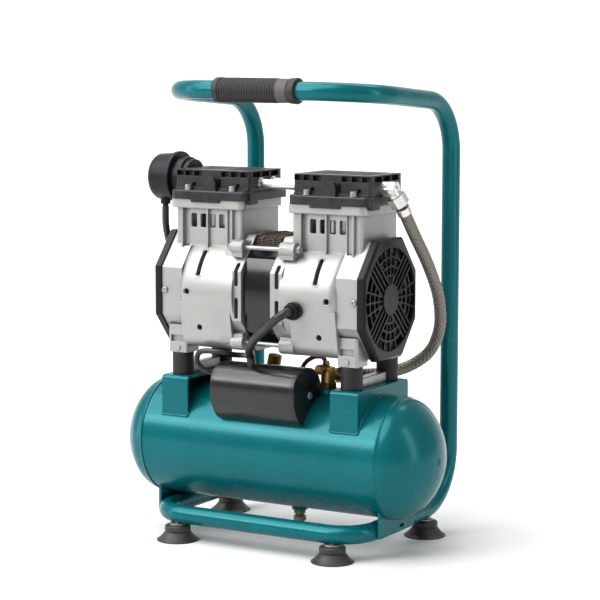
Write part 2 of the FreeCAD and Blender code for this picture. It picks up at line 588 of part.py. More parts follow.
# octagonal fan covers with a round grille
def fan_cover(sx):
    o = prism_x(octagon(OCT_Y, OCT_V, OCT_T, OCT_Z), 117.1, 126.2)
    o = cham(o, 2.4, lambda e: abs(e.CenterOfMass.x - 126.2) < 0.01)
    o = o.cut(prism_x(octagon(OCT_Y - 3.4, OCT_V - 1.4, OCT_T - 1.4, OCT_Z - 3.4), 116.0, 122.6))
    # grille openings drawn flat, then cut through the face
    ring = Part.Face(Part.Wire(Part.makeCircle(52.5, V(122, 0, AX_Z), EX))).cut(Part.Face(Part.Wire(Part.makeCircle(16.0, V(122, 0, AX_Z), EX))))
    keep = []
    def strip(w, l, ang, off=0.0):
        f = Part.Face(Part.makePolygon([V(122, -w / 2 + off, AX_Z - l), V(122, w / 2 + off, AX_Z - l), V(122, w / 2 + off, AX_Z + l), V(122, -w / 2 + off, AX_Z + l), V(122, -w / 2 + off, AX_Z - l)]))
        f.rotate(V(122, 0, AX_Z), EX, ang)
        return f
    for ang in (45, -45):
        for off in (-9.0, -3.0, 3.0, 9.0):
            keep.append(strip(2.1, 60, ang, off))
    bands = [strip(20.1, 60, ang) for ang in (45, -45)]
    rings = []
    for r in (24.5, 33.5, 43.0):
        a = Part.Face(Part.Wire(Part.makeCircle(r + 1.0, V(122, 0, AX_Z), EX))).cut(Part.Face(Part.Wire(Part.makeCircle(r - 1.0, V(122, 0, AX_Z), EX))))
        rings.append(a.cut(bands))
    for ang in (0, 14, -14, 90, 76, 104):
        rings.append(strip(1.8, 60, ang).cut(bands))
    openings = ring.cut(keep + rings)
    tool = openings.extrude(V(8, 0, 0))
    o = o.cut(tool)
    for sy in (1, -1):
        pass
    # shallow dish in front of the grille
    dish = revolve([(125.2, 0, AX_Z), (125.2, 0, AX_Z + 52.5), (127, 0, AX_Z + 53.6), (127, 0, AX_Z)], (0, 0, AX_Z), (1, 0, 0))
    hub = cyl(16.0, (124, 0, AX_Z), (125.9, 0, AX_Z))
    o = o.cut(dish).fuse(hub.cut(o)) if False else o.cut(dish.cut(cyl(16.0, (120, 0, AX_Z), (130, 0, AX_Z))))
    o = max(o.Solids, key=lambda q: q.Volume)
    if sx < 0:
        o = o.mirror(V(0, 0, 0), EX)
    return o


save("fan_covers", group([fan_cover(1), fan_cover(-1)]))

screws = []
for sx in (1, -1):
    for sy in (1, -1):
        X = sx * 113.0
        h = fil(cyl(3.3, (X, sy * 54.55, 267.5), (X, sy * 57.0, 267.5)), 1.2, lambda e: circ_at(e, EY, sy * 57.0, 'y'))
        h = h.cut([box(X - 2, X + 2, min(sy * 56.2, sy * 57.5), max(sy * 56.2, sy * 57.5), 267.1, 267.9), box(X - 0.4, X + 0.4, min(sy * 56.2, sy * 57.5), max(sy * 56.2, sy * 57.5), 265.5, 269.5)])
        screws.append(fuse([h, cyl(1.6, (X, sy * 50.6, 267.5), (X, sy * 55.0, 267.5))]))

# tie rods with nuts pull the two crankcases onto the stator
rods = []
for ty, tz in TIE:
    x0, x1, hx0, hx1 = -39.2, 46.7, -34.1, 41.6
    rods.append(fuse([cyl(2.4, (x0, ty, tz), (x1, ty, tz)), hexa(8, (x0 + 0.6, ty, tz), (hx0, ty, tz)), hexa(8, (hx1, ty, tz), (x1 - 0.6, ty, tz))]))
save("tie_rods", group(rods))

# ---------------------------------------------------------------- cylinders, pistons, heads
save("cylinder_liners", group([pipe(LINER_R, BORE_R, (sx * CYL_X, 0, 313.0), (sx * CYL_X, 0, FLANGE_TOP)) for sx in (1, -1)]))


def piston(sx, top, up):
    X = sx * CYL_X
    r_in, r_out = 23.5, 27.6
    # the big end opening is long enough to clear the crank pin bearing over the whole stroke
    zc0, zc1 = (AX_Z, AX_Z + 2 * CRANK_E) if up > 0 else (AX_Z - 2 * CRANK_E, AX_Z)
    def stad(r, w):
        a = cyl(r, (X - w, 0, zc0), (X + w, 0, zc0)).fuse(cyl(r, (X - w, 0, zc1), (X + w, 0, zc1)))
        return a.fuse(box(X - w, X + w, -r, r, zc0, zc1)).removeSplitter()
    ring = stad(r_out, 4.0)
    rod = box(X - 3.0, X + 3.0, -6.5, 6.5, zc1 + 22.0, top - 6.0)
    disc = revolve([(X, 0, top), (X + 21.6, 0, top), (X + 22.6, 0, top - 1.0), (X + 22.6, 0, top - 3.2), (X + 21.6, 0, top - 3.6), (X + 21.6, 0, top - 5.4), (X + 22.6, 0, top - 5.8), (X + 22.6, 0, top - 9.0), (X + 8.5, 0, top - 10.5), (X, 0, top - 10.5)], (X, 0, 0), (0, 0, 1))
    s = fuse([ring, rod, disc]).cut(stad(r_in, 6.0))
    return max(s.Solids, key=lambda q: q.Volume)


save("piston_left", piston(-1, 361.0, 1))
save("piston_right", piston(1, 349.0, -1))

for nm, sx, top in (("cup_seal_left", -1, 361.0), ("cup_seal_right", 1, 349.0)):
    save(nm, pipe(22.88, 21.65, (sx * CYL_X, 0, top - 5.35), (sx * CYL_X, 0, top - 3.65)))

plates2, reeds = [], []
for sx in (1, -1):
    xc = sx * CYL_X + HEAD_SHIFT
    p = box(xc - 41, xc + 41, -35.2, 35.2, FLANGE_TOP + 0.05, FLANGE_TOP + 2.0)
    p = fil(p, 6.0, lambda e: along(e, EZ))
    c = [cyl(2.4, (sx * CYL_X + dx, dy, 360), (sx * CYL_X + dx, dy, 370)) for dx, dy in ((-11, -8), (-11, 0), (-11, 8), (11, -8), (11, 0), (11, 8))]
    plates2.append(p.cut(c))
save("valve_plates", group(plates2))
for sx in (1, -1):
    for dx, z in ((-11, FLANGE_TOP - 0.4), (11, FLANGE_TOP + 2.03)):
        r = box(sx * CYL_X + dx - 4.0, sx * CYL_X + dx + 4.0, -13.0, 11.5, z, z + 0.38)
        reeds.append(fil(r, 3.5, lambda e: along(e, EZ)))
save("reed_valves", group(reeds))


def head(sx):
    xc = sx * CYL_X + HEAD_SHIFT
    zb = FLANGE_TOP + 0.1
    base = box(xc - 47.2, xc + 47.2, -42.0, 43.0, zb, 372.0)
    base = fil(base, 7.0, lambda e: along(e, EZ))
    base = fil(base, 1.6, lambda e: abs(e.CenterOfMass.z - 372.0) < 0.01)
    step = box(xc - 44.85, xc + 44.85, -35.2, 34.2, 371.0, 374.0)
    step = fil(step, 3.0, lambda e: along(e, EZ))
    up = box(xc - 44.9, xc + 44.9, -33.0, 32.0, 369.0, 393.0)
    up = fil(up, 2.0, lambda e: along(e, EZ))
    parts = [base, step, up]
    # half-round boss on the front and the back over the cylinder centre
    xb = xc - 0.4
    parts += [cyl(7.4, (xb, -38.6, 379.0), (xb, -30, 379.0)), box(xb - 7.4, xb + 7.4, -38.6, -30, 369.0, 379.0)]
    parts += [cyl(7.4, (xb, 36.5, 379.0), (xb, 30, 379.0)), box(xb - 7.4, xb + 7.4, 30, 36.5, 369.0, 379.0)]
    # lips hanging over the flange edge
    parts.append(box(xc - 21.0, xc + 13.5, -42.0, -40.1, 359.6, 364.0))
    parts.append(box(xc + 42.6, xc + 47.2, -35.0, -19.0, 358.8, 364.0))
    s = fuse(parts)
    c = []
    # pockets along the top rim, open at the top
    for p0, p1 in ((-43.6, -35.0), (-33.4, -23.8), (-22.2, -12.4), (11.2, 21.2), (22.8, 32.8), (34.4, 43.6)):
        c.append(box(xc + p0, xc + p1, -34.0, -27.6, 386.4, 391.8))
        c.append(box(xc + p0, xc + p1, 26.6, 33.0, 386.4, 391.8))
    for q0, q1 in ((-26.2, -10.2), (-8.4, 7.4), (9.2, 25.2)):
        c.append(box(xc + 39.6, xc + 46.0, q0, q1, 386.4, 391.8))
        c.append(box(xc - 46.0, xc - 39.6, q0, q1, 386.4, 391.8))
    # recesses beside the screws and beside the half-round boss
    for hx in (-27.0, 27.0):
        c.append(cyl(2.3, (xc + hx + 4.6, -34.0, 377.6), (xc + hx + 4.6, -30.0, 377.6)))
    c.append(box(xb + 7.6, xb + 10.8, -34.0, -30.4, 375.6, 384.0))
    # long channels between the cooling fins on top
    for i in range(7):
        y0 = -21.6 + i * 6.4
        c.append(box(xc - 36.5, xc - 1.5, y0, y0 + 4.4, 388.0, 394.0))
        c.append(box(xc + 1.5, xc + 36.5, y0, y0 + 4.4, 388.0, 394.0))
    # valve plate seat and the two gas chambers
    seat = box(xc - 41.2, xc + 41.2, -35.4, 35.4, 360, FLANGE_TOP + 2.05)
    c.append(fil(seat, 6.0, lambda e: along(e, EZ)))
    c.append(box(xc - 40.5, xc - 2.5, -29.0, 28.0, 362, 384.0))
    c.append(box(xc + 2.5, xc + 40.5, -29.0, 28.0, 362, 384.0))
    c.append(box(xc - 3.0, xc + 3.0, -8.0, 8.0, 362, 376.0))
    for hx, hy in HEAD_BOLTS:
        c.append(cyl(2.05, (xc + hx, hy, 358), (xc + hx, hy, 375.0)))
        c.append(cyl(4.7, (xc + hx, hy, 372.01), (xc + hx, hy, 376.0)))
    # pipe ports in both ends
    for py in (-12.0, 12.0):
        c.append(cyl(4.02, (xc - 50, py, 379.4), (xc - 39, py, 379.4)))
        c.append(cyl(4.02, (xc + 39, py, 379.4), (xc + 50, py, 379.4)))
    s = s.cut(c)
    return max(s.Solids, key=lambda q: q.Volume)


save("cylinder_head_left", head(-1))
save("cylinder_head_right", head(1))

hs = []
for sx in (1, -1):
    xc = sx * CYL_X + HEAD_SHIFT
    for hx, hy in HEAD_BOLTS:
        z0 = 372.05
        sc = fuse([cyl(3.5, (xc + hx, hy, z0), (xc + hx, hy, z0 + 5.4)), cyl(4.4, (xc + hx, hy, z0), (xc + hx, hy, z0 + 0.8)), cyl(1.95, (xc + hx, hy, 354.0), (xc + hx, hy, z0 + 1))])
        sc = fil(sc, 0.5, lambda e: circ_at(e, EZ, z0 + 5.4, 'z'))
        sc = sc.cut(hexa(3.2, (xc + hx, hy, z0 + 2.4), (xc + hx, hy, z0 + 6)))
        hs.append(sc)

# ---------------------------------------------------------------- pipes between and beside the heads
XL1 = -CYL_X + HEAD_SHIFT + 44.9      # right end of the left head
XR0 = CYL_X + HEAD_SHIFT - 44.9       # left end of the right head
XR1 = CYL_X + HEAD_SHIFT + 44.9
XL0 = -CYL_X + HEAD_SHIFT - 44.9
cross = []
for py in (-12.0, 12.0):
    t = fuse([cyl(4.0, (XL1 - 3.5, py, 379.4), (XR0 + 3.5, py, 379.4)), cyl(5.1, (XL1 + 0.1, py, 379.4), (XR0 - 0.1, py, 379.4)), cyl(6.0, (XL1 + 0.1, py, 380.1), (XL1 + 2.6, py, 380.1)), cyl(6.0, (XR0 - 2.6, py, 380.1), (XR0 - 0.1, py, 380.1))])
    cross.append(t.cut(cyl(2.8, (XL1 - 5, py, 379.4), (XR0 + 5, py, 379.4))))
save("crossover_pipes", group(cross))

# intake filter on the left end of the left head
FY, FZ = 5.0, 381.5
fb = revolve([(XL0 - 0.1, FY, FZ + 3.0), (XL0 - 0.1, FY, FZ + 18.6), (XL0 - 0.9, FY, FZ + 19.6), (-119.5, FY, FZ + 19.6), (-120.0, FY, FZ + 21.8), (-131.0, FY, FZ + 21.8), (-131.0, FY, FZ + 26.5), (-131.6, FY, FZ + 27.6), (-135.4, FY, FZ + 27.6), (-136.0, FY, FZ + 26.8), (-136.0, FY, FZ + 24.3), (-138.5, FY, FZ + 24.3), (-138.5, FY, FZ + 22.0), (-134.0, FY, FZ + 22.0), (-134.0, FY, FZ + 19.6), (-122.0, FY, FZ + 19.6), (-121.0, FY, FZ + 17.4), (XL0 - 2.6, FY, FZ + 17.4), (XL0 - 2.6, FY, FZ + 3.0)],
             (0, FY, FZ), (1, 0, 0))
fb = fb.cut(box(-117.4, -100, -50, 60, 330, 374.3))
save("intake_filter_base", max(fb.Solids, key=lambda q: q.Volume))
# cap with air slots round its rim face
cp = revolve([(-136.1, FY, FZ + 24.4), (-136.1, FY, FZ + 25.9), (-156.2, FY, FZ + 24.6), (-159.4, FY, FZ + 22.6), (-160.6, FY, FZ + 18.4), (-160.9, FY, FZ), (-158.6, FY, FZ), (-158.4, FY, FZ + 17.6), (-157.2, FY, FZ + 20.8), (-155.0, FY, FZ + 22.4), (-139.5, FY, FZ + 22.8), (-139.5, FY, FZ + 24.4)], (0, FY, FZ), (1, 0, 0))
vents = []
for i in range(12):
    v = box(-162, -157, FY - 1.3, FY + 1.3, FZ + 7.0, FZ + 15.0)
    v.rotate(V(0, FY, FZ), EX, 30 * i)
    vents.append(v)
HN = (-146.5, -3.0)       # hose nipple on the underside of the cap
nip = fuse([pipe(3.2, 1.8, (HN[0], HN[1], FZ - 31.0), (HN[0], HN[1], FZ - 21.0)), pipe(5.4, 1.8, (HN[0], HN[1], FZ - 28.5), (HN[0], HN[1], FZ - 21.0))])
cp = fuse([cp.cut(vents), nip.cut(cyl(22.9, (-156, FY, FZ), (-136, FY, FZ)))])
save("intake_filter_cap", max(cp.Solids, key=lambda q: q.Volume))
save("filter_element", pipe(17.0, 10.5, (-155.0, FY, FZ), (XL0 - 4.0, FY, FZ)))

# breather hose: cap nipple to the back of the left crankcase, round the outside of the fan cover
bh = route([(HN[0], HN[1], FZ - 31.2), (HN[0], HN[1] - 0.5, 330), (-145.0, 2, 308), (-143.0, 22, 290), (-138.0, 46, 277), (-124.0, 70, 268), (-104.0, 83, 263.5), (-86.0, 85.5, BR_Z + 0.2), (BR_X, 77.0, BR_Z), (BR_X, 64.0, BR_Z)], 3.7, "breather_hose", 2.2)
save("breather_hose", bh)
br_fit = fuse([cyl(2.55, (BR_X, 52.0, BR_Z), (BR_X, 60.0, BR_Z)), hexa(8.5, (BR_X, 59.8, BR_Z), (BR_X, 63.7, BR_Z))])

# outlet elbow on the right end of the right head, facing down and back
EL = V(131.5, -12.0, 379.4)
HP0 = V(138.8, -2.0, 361.0)           # hose start
ed = (HP0 - EL).normalize()
elb = [cyl(3.98, (XR1 - 3.5, -12, 379.4), (XR1 + 1, -12, 379.4)), hexa(12.5, (XR1 + 0.15, -12, 379.4), (XR1 + 4.2, -12, 379.4), 15), cyl(5.4, (XR1 + 4, -12, 379.4), (EL.x, EL.y, EL.z))]
q0, q1 = EL, EL + ed * 11.5
elb += [hexa(14.5, (EL.x - 7.2, EL.y, EL.z), (EL.x + 6.4, EL.y, EL.z), 30), Part.makeSphere(7.6, EL), cyl(6.6, tuple(q0), tuple(EL + ed * 8.6)), cyl(5.4, tuple(q0), tuple(q1))]
elbow = fuse(elb).cut([cyl(2.4, (XR1 - 5, -12, 379.4), tuple(EL)), cyl(2.4, tuple(EL), tuple(q1 + ed * 2))])
save("outlet_elbow", elbow)

# braided steel hose from the elbow down and round behind the right bracket to the check valve
HOSE = [tuple(HP0), (143.0, 14.0, 335.0), (146.5, 42.0, 300.0), (144.0, 72.0, 264.0), (138.5, 88.5, 230.0), (124.5, 95.5, 200.5), (101.5, 88.5, 183.0), (82.0, 66.0, 177.5), (71.5, 38.0, 179.5), (62.6, 13.5, 182.0)]
HR = 6.4
hose = route(HOSE, HR, "braided_hose", 3.2)
save("braided_hose", hose)
hd0 = (V(*HOSE[1]) - V(*HOSE[0])).normalize()
hd1 = (V(*HOSE[-1]) - V(*HOSE[-2])).normalize()
he = V(*HOSE[-1])
fits = [
    hexa(17.5, tuple(EL + ed * 8.9), tuple(EL + ed * 19.4), 10).fuse(cyl(7.1, tuple(EL + ed * 19.0), tuple(EL + ed * 20.8))).cut(cyl(5.45, tuple(EL), tuple(EL + ed * 13.0))).cut(cyl(3.0, tuple(EL), tuple(EL + ed * 30))),
    pipe(7.5, HR + 0.02, tuple(HP0 + hd0 * 0.4), tuple(HP0 + hd0 * 8.0)),
    pipe(7.6, HR + 0.02, tuple(he - hd1 * 13.0), tuple(he - hd1 * 0.6)),
    hexa(15, tuple(he), tuple(he + hd1 * 6.0), 0).cut(cyl(3.0, tuple(he - hd1 * 5), tuple(he + hd1 * 8))),
]
save("hose_fittings", group(fits + [br_fit]))

# check valve: hex base, body, side inlet, top cap and the small unloader port
cvx, cvy = CV
cvb = [hexa(17, (cvx, cvy, 170.1), (cvx, cvy, 176.0)), cyl(7.4, (cvx, cvy, 176.0), (cvx, cvy, 189.0)), hexa(13, (cvx, cvy, 188.5), (cvx, cvy, 192.0), 30),
       cyl(4.9, (cvx, cvy, 162.0), (cvx, cvy, 171.0)),
       cyl(5.6, tuple(he + hd1 * 17.0), tuple(he + hd1 * 6.1)),
       cyl(3.4, (cvx, cvy - 4, 189.0), (cvx - 1.6, cvy - 10.0, 190.4)), hexa(10.0, (cvx - 1.4, cvy - 9.0, 190.2), (cvx - 2.8, cvy - 14.6, 191.0)), cyl(4.1, (cvx - 2.8, cvy - 14.6, 191.0), (cvx - 3.2, cvy - 16.4, 191.3)),
       cyl(2.9, (cvx, cvy, 190.0), (cvx - 2.4, cvy - 0.6, 196.5)), hexa(7.0, (cvx - 1.2, cvy - 0.3, 193.4), (cvx - 2.8, cvy - 0.6, 197.6))]
cvs = fuse(cvb).cut(cyl(3.0, (cvx, cvy, 160), (cvx, cvy, 185)))
save("check_valve", max(cvs.Solids, key=lambda q: q.Volume))
UT = (cvx - 2.9, cvy - 0.6, 197.8)
ut = route([UT, (49.8, -5.6, 202.4), (41.0, -7.5, 202.4), (31.0, -8.5, 196.5), (24.0, -6.0, 187.0), (16.0, 6.0, 178.0), (0.0, 24.0, 171.5), (-22.0, 44.0, 165.0), (-40.0, 56.0, 158.0), (-47.0, 64.0, 156.5)], 2.3, "unloader_tube", 1.3)
save("unloader_tube", ut)

# safety valve, leaning towards +X, with a cap that lifts to vent
sv = [hexa(15, (SV[0], SV[1], 169.6), (SV[0], SV[1], 175.5)), cyl(6.1, (SV[0], SV[1], 175.5), (SV[0], SV[1], 184.0)), cyl(3.9, (SV[0], SV[1], 163.0), (SV[0], SV[1], 170.0)), cyl(2.2, (SV[0], SV[1], 184.0), (SV[0], SV[1], 194.0))]
save("safety_valve_body", tilted(fuse(sv)))
cap = cyl(7.3, (SV[0], SV[1], 184.6), (SV[0], SV[1], 199.0))
cap = fil(cap, 1.0, lambda e: circ_at(e, EZ, 199.0, 'z'))
notch = []
for i in range(18):
    n = box(SV[0] + 6.9, SV[0] + 8.0, SV[1] - 0.5, SV[1] + 0.5, 185.6, 197.5)
    n.rotate(V(SV[0], SV[1], 0), EZ, 20 * i)
    notch.append(n)
cap = cap.cut(notch + [cyl(2.5, (SV[0], SV[1], 180), (SV[0], SV[1], 197.2)), cyl(1.5, (SV[0], SV[1], 196), (SV[0], SV[1], 200))])
save("safety_valve_cap", tilted(cap))

# drain valve under the tank
dv = fuse([hexa(12, (DR_X, 0, 37.4), (DR_X, 0, 33.6)), cyl(3.9, (DR_X, 0, 44), (DR_X, 0, 36)), cyl(4.6, (DR_X, 0, 33.6), (DR_X, 0, 31.0))]).cut(cyl(2.56, (DR_X, 0, 25), (DR_X, 0, 50)))
save("drain_valve_body", dv)
dk = fuse([cyl(6.6, (DR_X, 0, 30.6), (DR_X, 0, 25.4)), cyl(2.5, (DR_X, 0, 36.0), (DR_X, 0, 27.0))])
kn = []
for i in range(12):
    n = cyl(1.0, (DR_X + 6.9, 0, 24), (DR_X + 6.9, 0, 32))
    n.rotate(V(DR_X, 0, 0), EZ, 30 * i)
    kn.append(n)
save("drain_valve_knob", dk.cut(kn))

# ---------------------------------------------------------------- capacitor box on the tank's front shoulder
BX0, BX1 = -43.4, 50.8      # ends of the box body, before the end caps
arcpts = []
a0, a1 = math.atan2(135.9 - TANK_Z, -54.5), math.atan2(164.7 - TANK_Z, -17.0)


def box_profile(off=0.0, lip=True):
    """outer section, shrunk by off all round; (y, z) list with the tank side as a circle arc"""
    pts = [(-17.0 - off, 176.0), (-21.5 - off * 0.9, 186.0 - off * 0.4), (-30.0 - off * 0.6, 192.8 - off * 0.8), (-40.0, 195.9 - off), (-52.0 + off * 0.1, 195.9 - off), (-62.0 + off * 0.5, 192.6 - off * 0.85), (-69.0 + off * 0.8, 186.4 - off * 0.6), (-72.8 + off, 177.5),
           (-73.4 + off, 167.0), (-71.8 + off * 0.95, 157.5 + off * 0.2), (-67.4 + off * 0.9, 148.6 + off * 0.4), (-63.0 + off * 0.7, 142.6 + off * 0.7), (-59.6 + off * 0.4, 139.6 + off)]
    return pts


def box_solid(off, x0, x1, rt):
    pts = box_profile(off)
    edges = []
    vs = [V(x0, y, z) for y, z in pts]
    # smooth outer line, then down to the tank and back along it
    bs = Part.BSplineCurve()
    bs.interpolate(vs)
    p_low = V(x0, -57.2 + off * 0.3, 138.3 + off)
    b0 = math.asin((p_low.z - TANK_Z - 1.5) / rt)
    tl = V(x0, -rt * math.cos(b0), TANK_Z + rt * math.sin(b0))
    yb = pts[0][0]
    th = V(x0, yb, TANK_Z + math.sqrt(rt * rt - yb * yb))
    am = (math.atan2(tl.z - TANK_Z, tl.y) + math.atan2(th.z - TANK_Z, th.y)) / 2
    tm = V(x0, rt * math.cos(am), TANK_Z + rt * math.sin(am))
    edges = [bs.toShape(), Part.LineSegment(vs[-1], p_low).toShape(), Part.LineSegment(p_low, tl).toShape(), Part.Arc(tl, tm, th).toShape(), Part.LineSegment(th, vs[0]).toShape()]
    w = Part.Wire(Part.__sortEdges__(edges))
    return Part.Face(w).extrude(V(x1 - x0, 0, 0))


bo = box_solid(0.0, BX0, BX1, TANK_R + 0.15)
bi = box_solid(2.2, BX0 - 1, BX1 + 1, TANK_R + 2.0)
cbox = bo.cut(bi)
ML_END = (-9.0, -52.0)
cbox = cbox.cut(cyl(4.7, (ML_END[0], ML_END[1], 188), (ML_END[0], ML_END[1], 200)))
cbox = max(cbox.Solids, key=lambda q: q.Volume)
save("capacitor_box", cbox)
caps = []
BS = (-40.0, 167.0)
SLH = (-46.0, 181.0)
for sx, xe in ((1, BX1), (-1, BX0)):
    c = box_solid(0.0, 0.05, 3.2, TANK_R + 0.15)
    c = cham(c, 1.0, lambda e: abs(e.CenterOfMass.x - 3.2) < 0.01)
    c = c.cut([cyl(1.8, (-1, BS[0], BS[1]), (5, BS[0], BS[1])), cyl(4.2, (2.2, BS[0], BS[1]), (5, BS[0], BS[1]))])
    if sx < 0:
        c = c.mirror(V(0, 0, 0), EX)
        c = c.cut(cyl(3.1, (-6, SLH[0], SLH[1]), (2, SLH[0], SLH[1])))
    c.translate(V(xe, 0, 0))
    caps.append(c)
    h = fil(cyl(3.9, (sx * 2.2, BS[0], BS[1]), (sx * 4.6, BS[0], BS[1])), 1.2, lambda e: circ_at(e, EX, sx * 4.6, 'x'))
    q0, q1 = min(sx * 3.6, sx * 6), max(sx * 3.6, sx * 6)
    h = h.cut([box(q0, q1, BS[0] - 0.5, BS[0] + 0.5, BS[1] - 2.4, BS[1] + 2.4), box(q0, q1, BS[0] - 2.4, BS[0] + 2.4, BS[1] - 0.5, BS[1] + 0.5)])
    h = fuse([h, cyl(1.7, (sx * -8, BS[0], BS[1]), (sx * 3, BS[0], BS[1]))])
    h.translate(V(xe, 0, 0))
    screws.append(h)
save("box_end_caps", group(caps))
save("casing_screws", group(screws + hs))
can = fil(cyl(16.5, (-30, -46.5, 172), (34, -46.5, 172)), 2.0, lambda e: isinstance(e.Curve, Part.Circle))
can = fuse([can, box(34, 40, -50, -48.8, 168, 172), box(34, 40, -44.2, -43, 168, 172)])
save("capacitor", can)

# ---------------------------------------------------------------- gland and leads
gl = [pipe(9.2, 4.5, (GL_X, -59.6, GL_Z), (GL_X, -63.5, GL_Z)), pipe(7.8, 4.5, (GL_X, -63.0, GL_Z), (GL_X, -69.0, GL_Z)), pipe(5.5, 4.5, (GL_X, -54.0, GL_Z), (GL_X, -60.0, GL_Z))]
g = fuse(gl)
kn = []
for i in range(14):
    n = cyl(0.8, (GL_X + 8.0, -70, GL_Z), (GL_X + 8.0, -63.5, GL_Z))
    n.rotate(V(GL_X, 0, GL_Z), EY, 360.0 / 14 * i)
    kn.append(n)
save("cable_gland", g.cut(kn).cut(cyl(59.4, (30, 0, AX_Z), (60, 0, AX_Z)).cut(cyl(5.7, (GL_X, -70, GL_Z), (GL_X, -40, GL_Z)))))
ml = route([(GL_X, -57.5, GL_Z), (GL_X, -76.0, GL_Z), (41.0, -81.5, 251.6), (29.2, -80.0, 242.3), (8.2, -73.0, 227.0), (-6.0, -61.5, 213.0), (ML_END[0], ML_END[1], 205.0), (ML_END[0], ML_END[1], 189.0)], 4.4, "motor_lead")
save("motor_lead", ml)
sl = route([(BX0 + 0.5, SLH[0], SLH[1]), (BX0 - 13.0, SLH[0], SLH[1] + 0.5), (-66.5, -51.5, 184.5), (-75.0, -54.5, 193.5), (-72.0, -54.5, 205.0), (-60.0, -54.2, 206.6), (-47.0, -52.5, 206.0), (-38.5, -43.0, 202.8), (-37.5, -28.0, 200.2), (-43.0, -6.0, 197.0), (-51.0, 18.0, 189.0), (-59.0, 38.0, 174.5), (-64.0, 53.0, 160.8), (-64.0, 69.5, 160.5)], 2.9, "switch_lead")
save("switch_lead", sl)

# ---------------------------------------------------------------- controls behind the tank
MY = 77.0
man = box(-52, 62, 66.1, 88.0, 118.0, 138.0)
man = fil(man, 2.5, lambda e: along(e, EX))
man = fuse([man, cyl(4.9, (MAN_X, 58, MAN_Z), (MAN_X, 67, MAN_Z)), cyl(14.5, (32, 80, 128), (32, 94, 128)), hexa(18, (62, MY, 128), (68, MY, 128))])
man = man.cut([cyl(4.0, (-48, MY, 128), (64, MY, 128)), cyl(3.0, (MAN_X, 55, MAN_Z), (MAN_X, 80, MAN_Z)), cyl(6.0, (64, MY, 128), (70, MY, 128)), cyl(9.48, (32, 85, 128), (32, 96, 128)), cyl(3.0, (-14, 84, 128), (-14, 90, 128))])
save("air_manifold", man)
# pressure switch: housing over the manifold, push-pull knob on top
ps = box(-92, -40, 64.0, 100.0, 138.2, 166.0)
ps = fil(ps, 5.0, lambda e: along(e, EZ))
ps = fil(ps, 3.0, lambda e: e.CenterOfMass.z > 165.9)
psi = box(-89.5, -42.5, 66.5, 97.5, 141.0, 163.0)
ps = ps.cut([psi, cyl(3.2, (-64, 55, 160.5), (-64, 70, 160.5)), cyl(2.5, (-47, 55, 156.5), (-47, 67, 156.5)), cyl(5.07, (-66, 84, 160), (-66, 84, 170))])
save("pressure_switch", ps)
sk = fuse([cyl(5.0, (-66, 84, 156), (-66, 84, 170.5)), fil(cyl(9.0, (-66, 84, 167.4), (-66, 84, 172.6)), 1.2, lambda e: isinstance(e.Curve, Part.Circle))])
save("switch_knob", sk)
# regulator knob facing backwards
rk = fuse([cyl(9.4, (32, 86, 128), (32, 96.5, 128)), fil(cyl(13.6, (32, 94.4, 128), (32, 110.0, 128)), 1.5, lambda e: circ_at(e, EY, 110.0, 'y'))])
kn = []
for i in range(16):
    n = cyl(1.2, (32 + 14.2, 97, 128), (32 + 14.2, 111, 128))
    n.rotate(V(32, 0, 128), EY, 22.5 * i)
    kn.append(n)
save("regulator_knob", rk.cut(kn))
# tank pressure gauge facing backwards
GX, GZ, GR = -14.0, 128.0, 20.5
ga = fuse([cyl(GR, (GX, 94.5, GZ), (GX, 107.0, GZ)), hexa(14, (GX, 88.1, GZ), (GX, 93.0, GZ)), cyl(4.6, (GX, 92.5, GZ), (GX, 95.0, GZ)), cyl(2.9, (GX, 84.2, GZ), (GX, 88.5, GZ))])
ga = fil(ga, 1.0, lambda e: circ_at(e, EY, 107.0, 'y'))
ga = ga.cut(cyl(GR - 2.0, (GX, 103.0, GZ), (GX, 108, GZ)))
ga = fuse([ga, cyl(0.9, (GX, 102.5, GZ), (GX, 104.8, GZ))])
save("pressure_gauge", ga)
nd = fuse([pipe(2.4, 1.0, (GX, 103.5, GZ), (GX, 104.6, GZ)), prism_z([(0, 0), (1, 0), (1, 1), (0, 1)], 0, 1)]) if False else None
tipa = math.radians(225)


def needle():
    w = Part.makePolygon([V(GX - 1.0, 103.6, GZ + 1.2), V(GX - 0.25, 103.6, GZ + 15.0), V(GX + 0.25, 103.6, GZ + 15.0), V(GX + 1.0, 103.6, GZ + 1.2), V(GX + 0.9, 103.6, GZ - 5.0), V(GX - 0.9, 103.6, GZ - 5.0), V(GX - 1.0, 103.6, GZ + 1.2)])
    n = Part.Face(w).extrude(V(0, 0.7, 0))
    n = fuse([n, cyl(2.4, (GX, 103.5, GZ), (GX, 104.5, GZ))]).cut(cyl(0.96, (GX, 102, GZ), (GX, 106, GZ)))
    n.rotate(V(GX, 0, GZ), EY, 135)
    return n


save("gauge_needle", needle())
# quick coupler with a pull-back sleeve, facing +X
co = fuse([hexa(17, (68.1, MY, 128), (75.0, MY, 128)), cyl(5.9, (64.2, MY, 128), (68.5, MY, 128)), cyl(7.6, (75.0, MY, 128), (97.0, MY, 128)), cyl(8.8, (75.0, MY, 128), (77.0, MY, 128))])
co = co.cut([cyl(5.5, (82.0, MY, 128), (98, MY, 128)), cyl(3.5, (60, MY, 128), (98, MY, 128))])
save("outlet_coupler", co)
cs = pipe(10.6, 7.68, (84.0, MY, 128), (98.5, MY, 128))
cs = fil(cs, 0.8, lambda e: isinstance(e.Curve, Part.Circle) and e.Curve.Radius > 10)
gr = [pipe(11.5, 10.1, (87.5 + 3 * i, MY, 128), (88.7 + 3 * i, MY, 128)) for i in range(3)]
save("coupler_sleeve", cs.cut(gr))
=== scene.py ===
import bpy, bmesh, json, math, random
from mathutils import Vector, Matrix, Quaternion


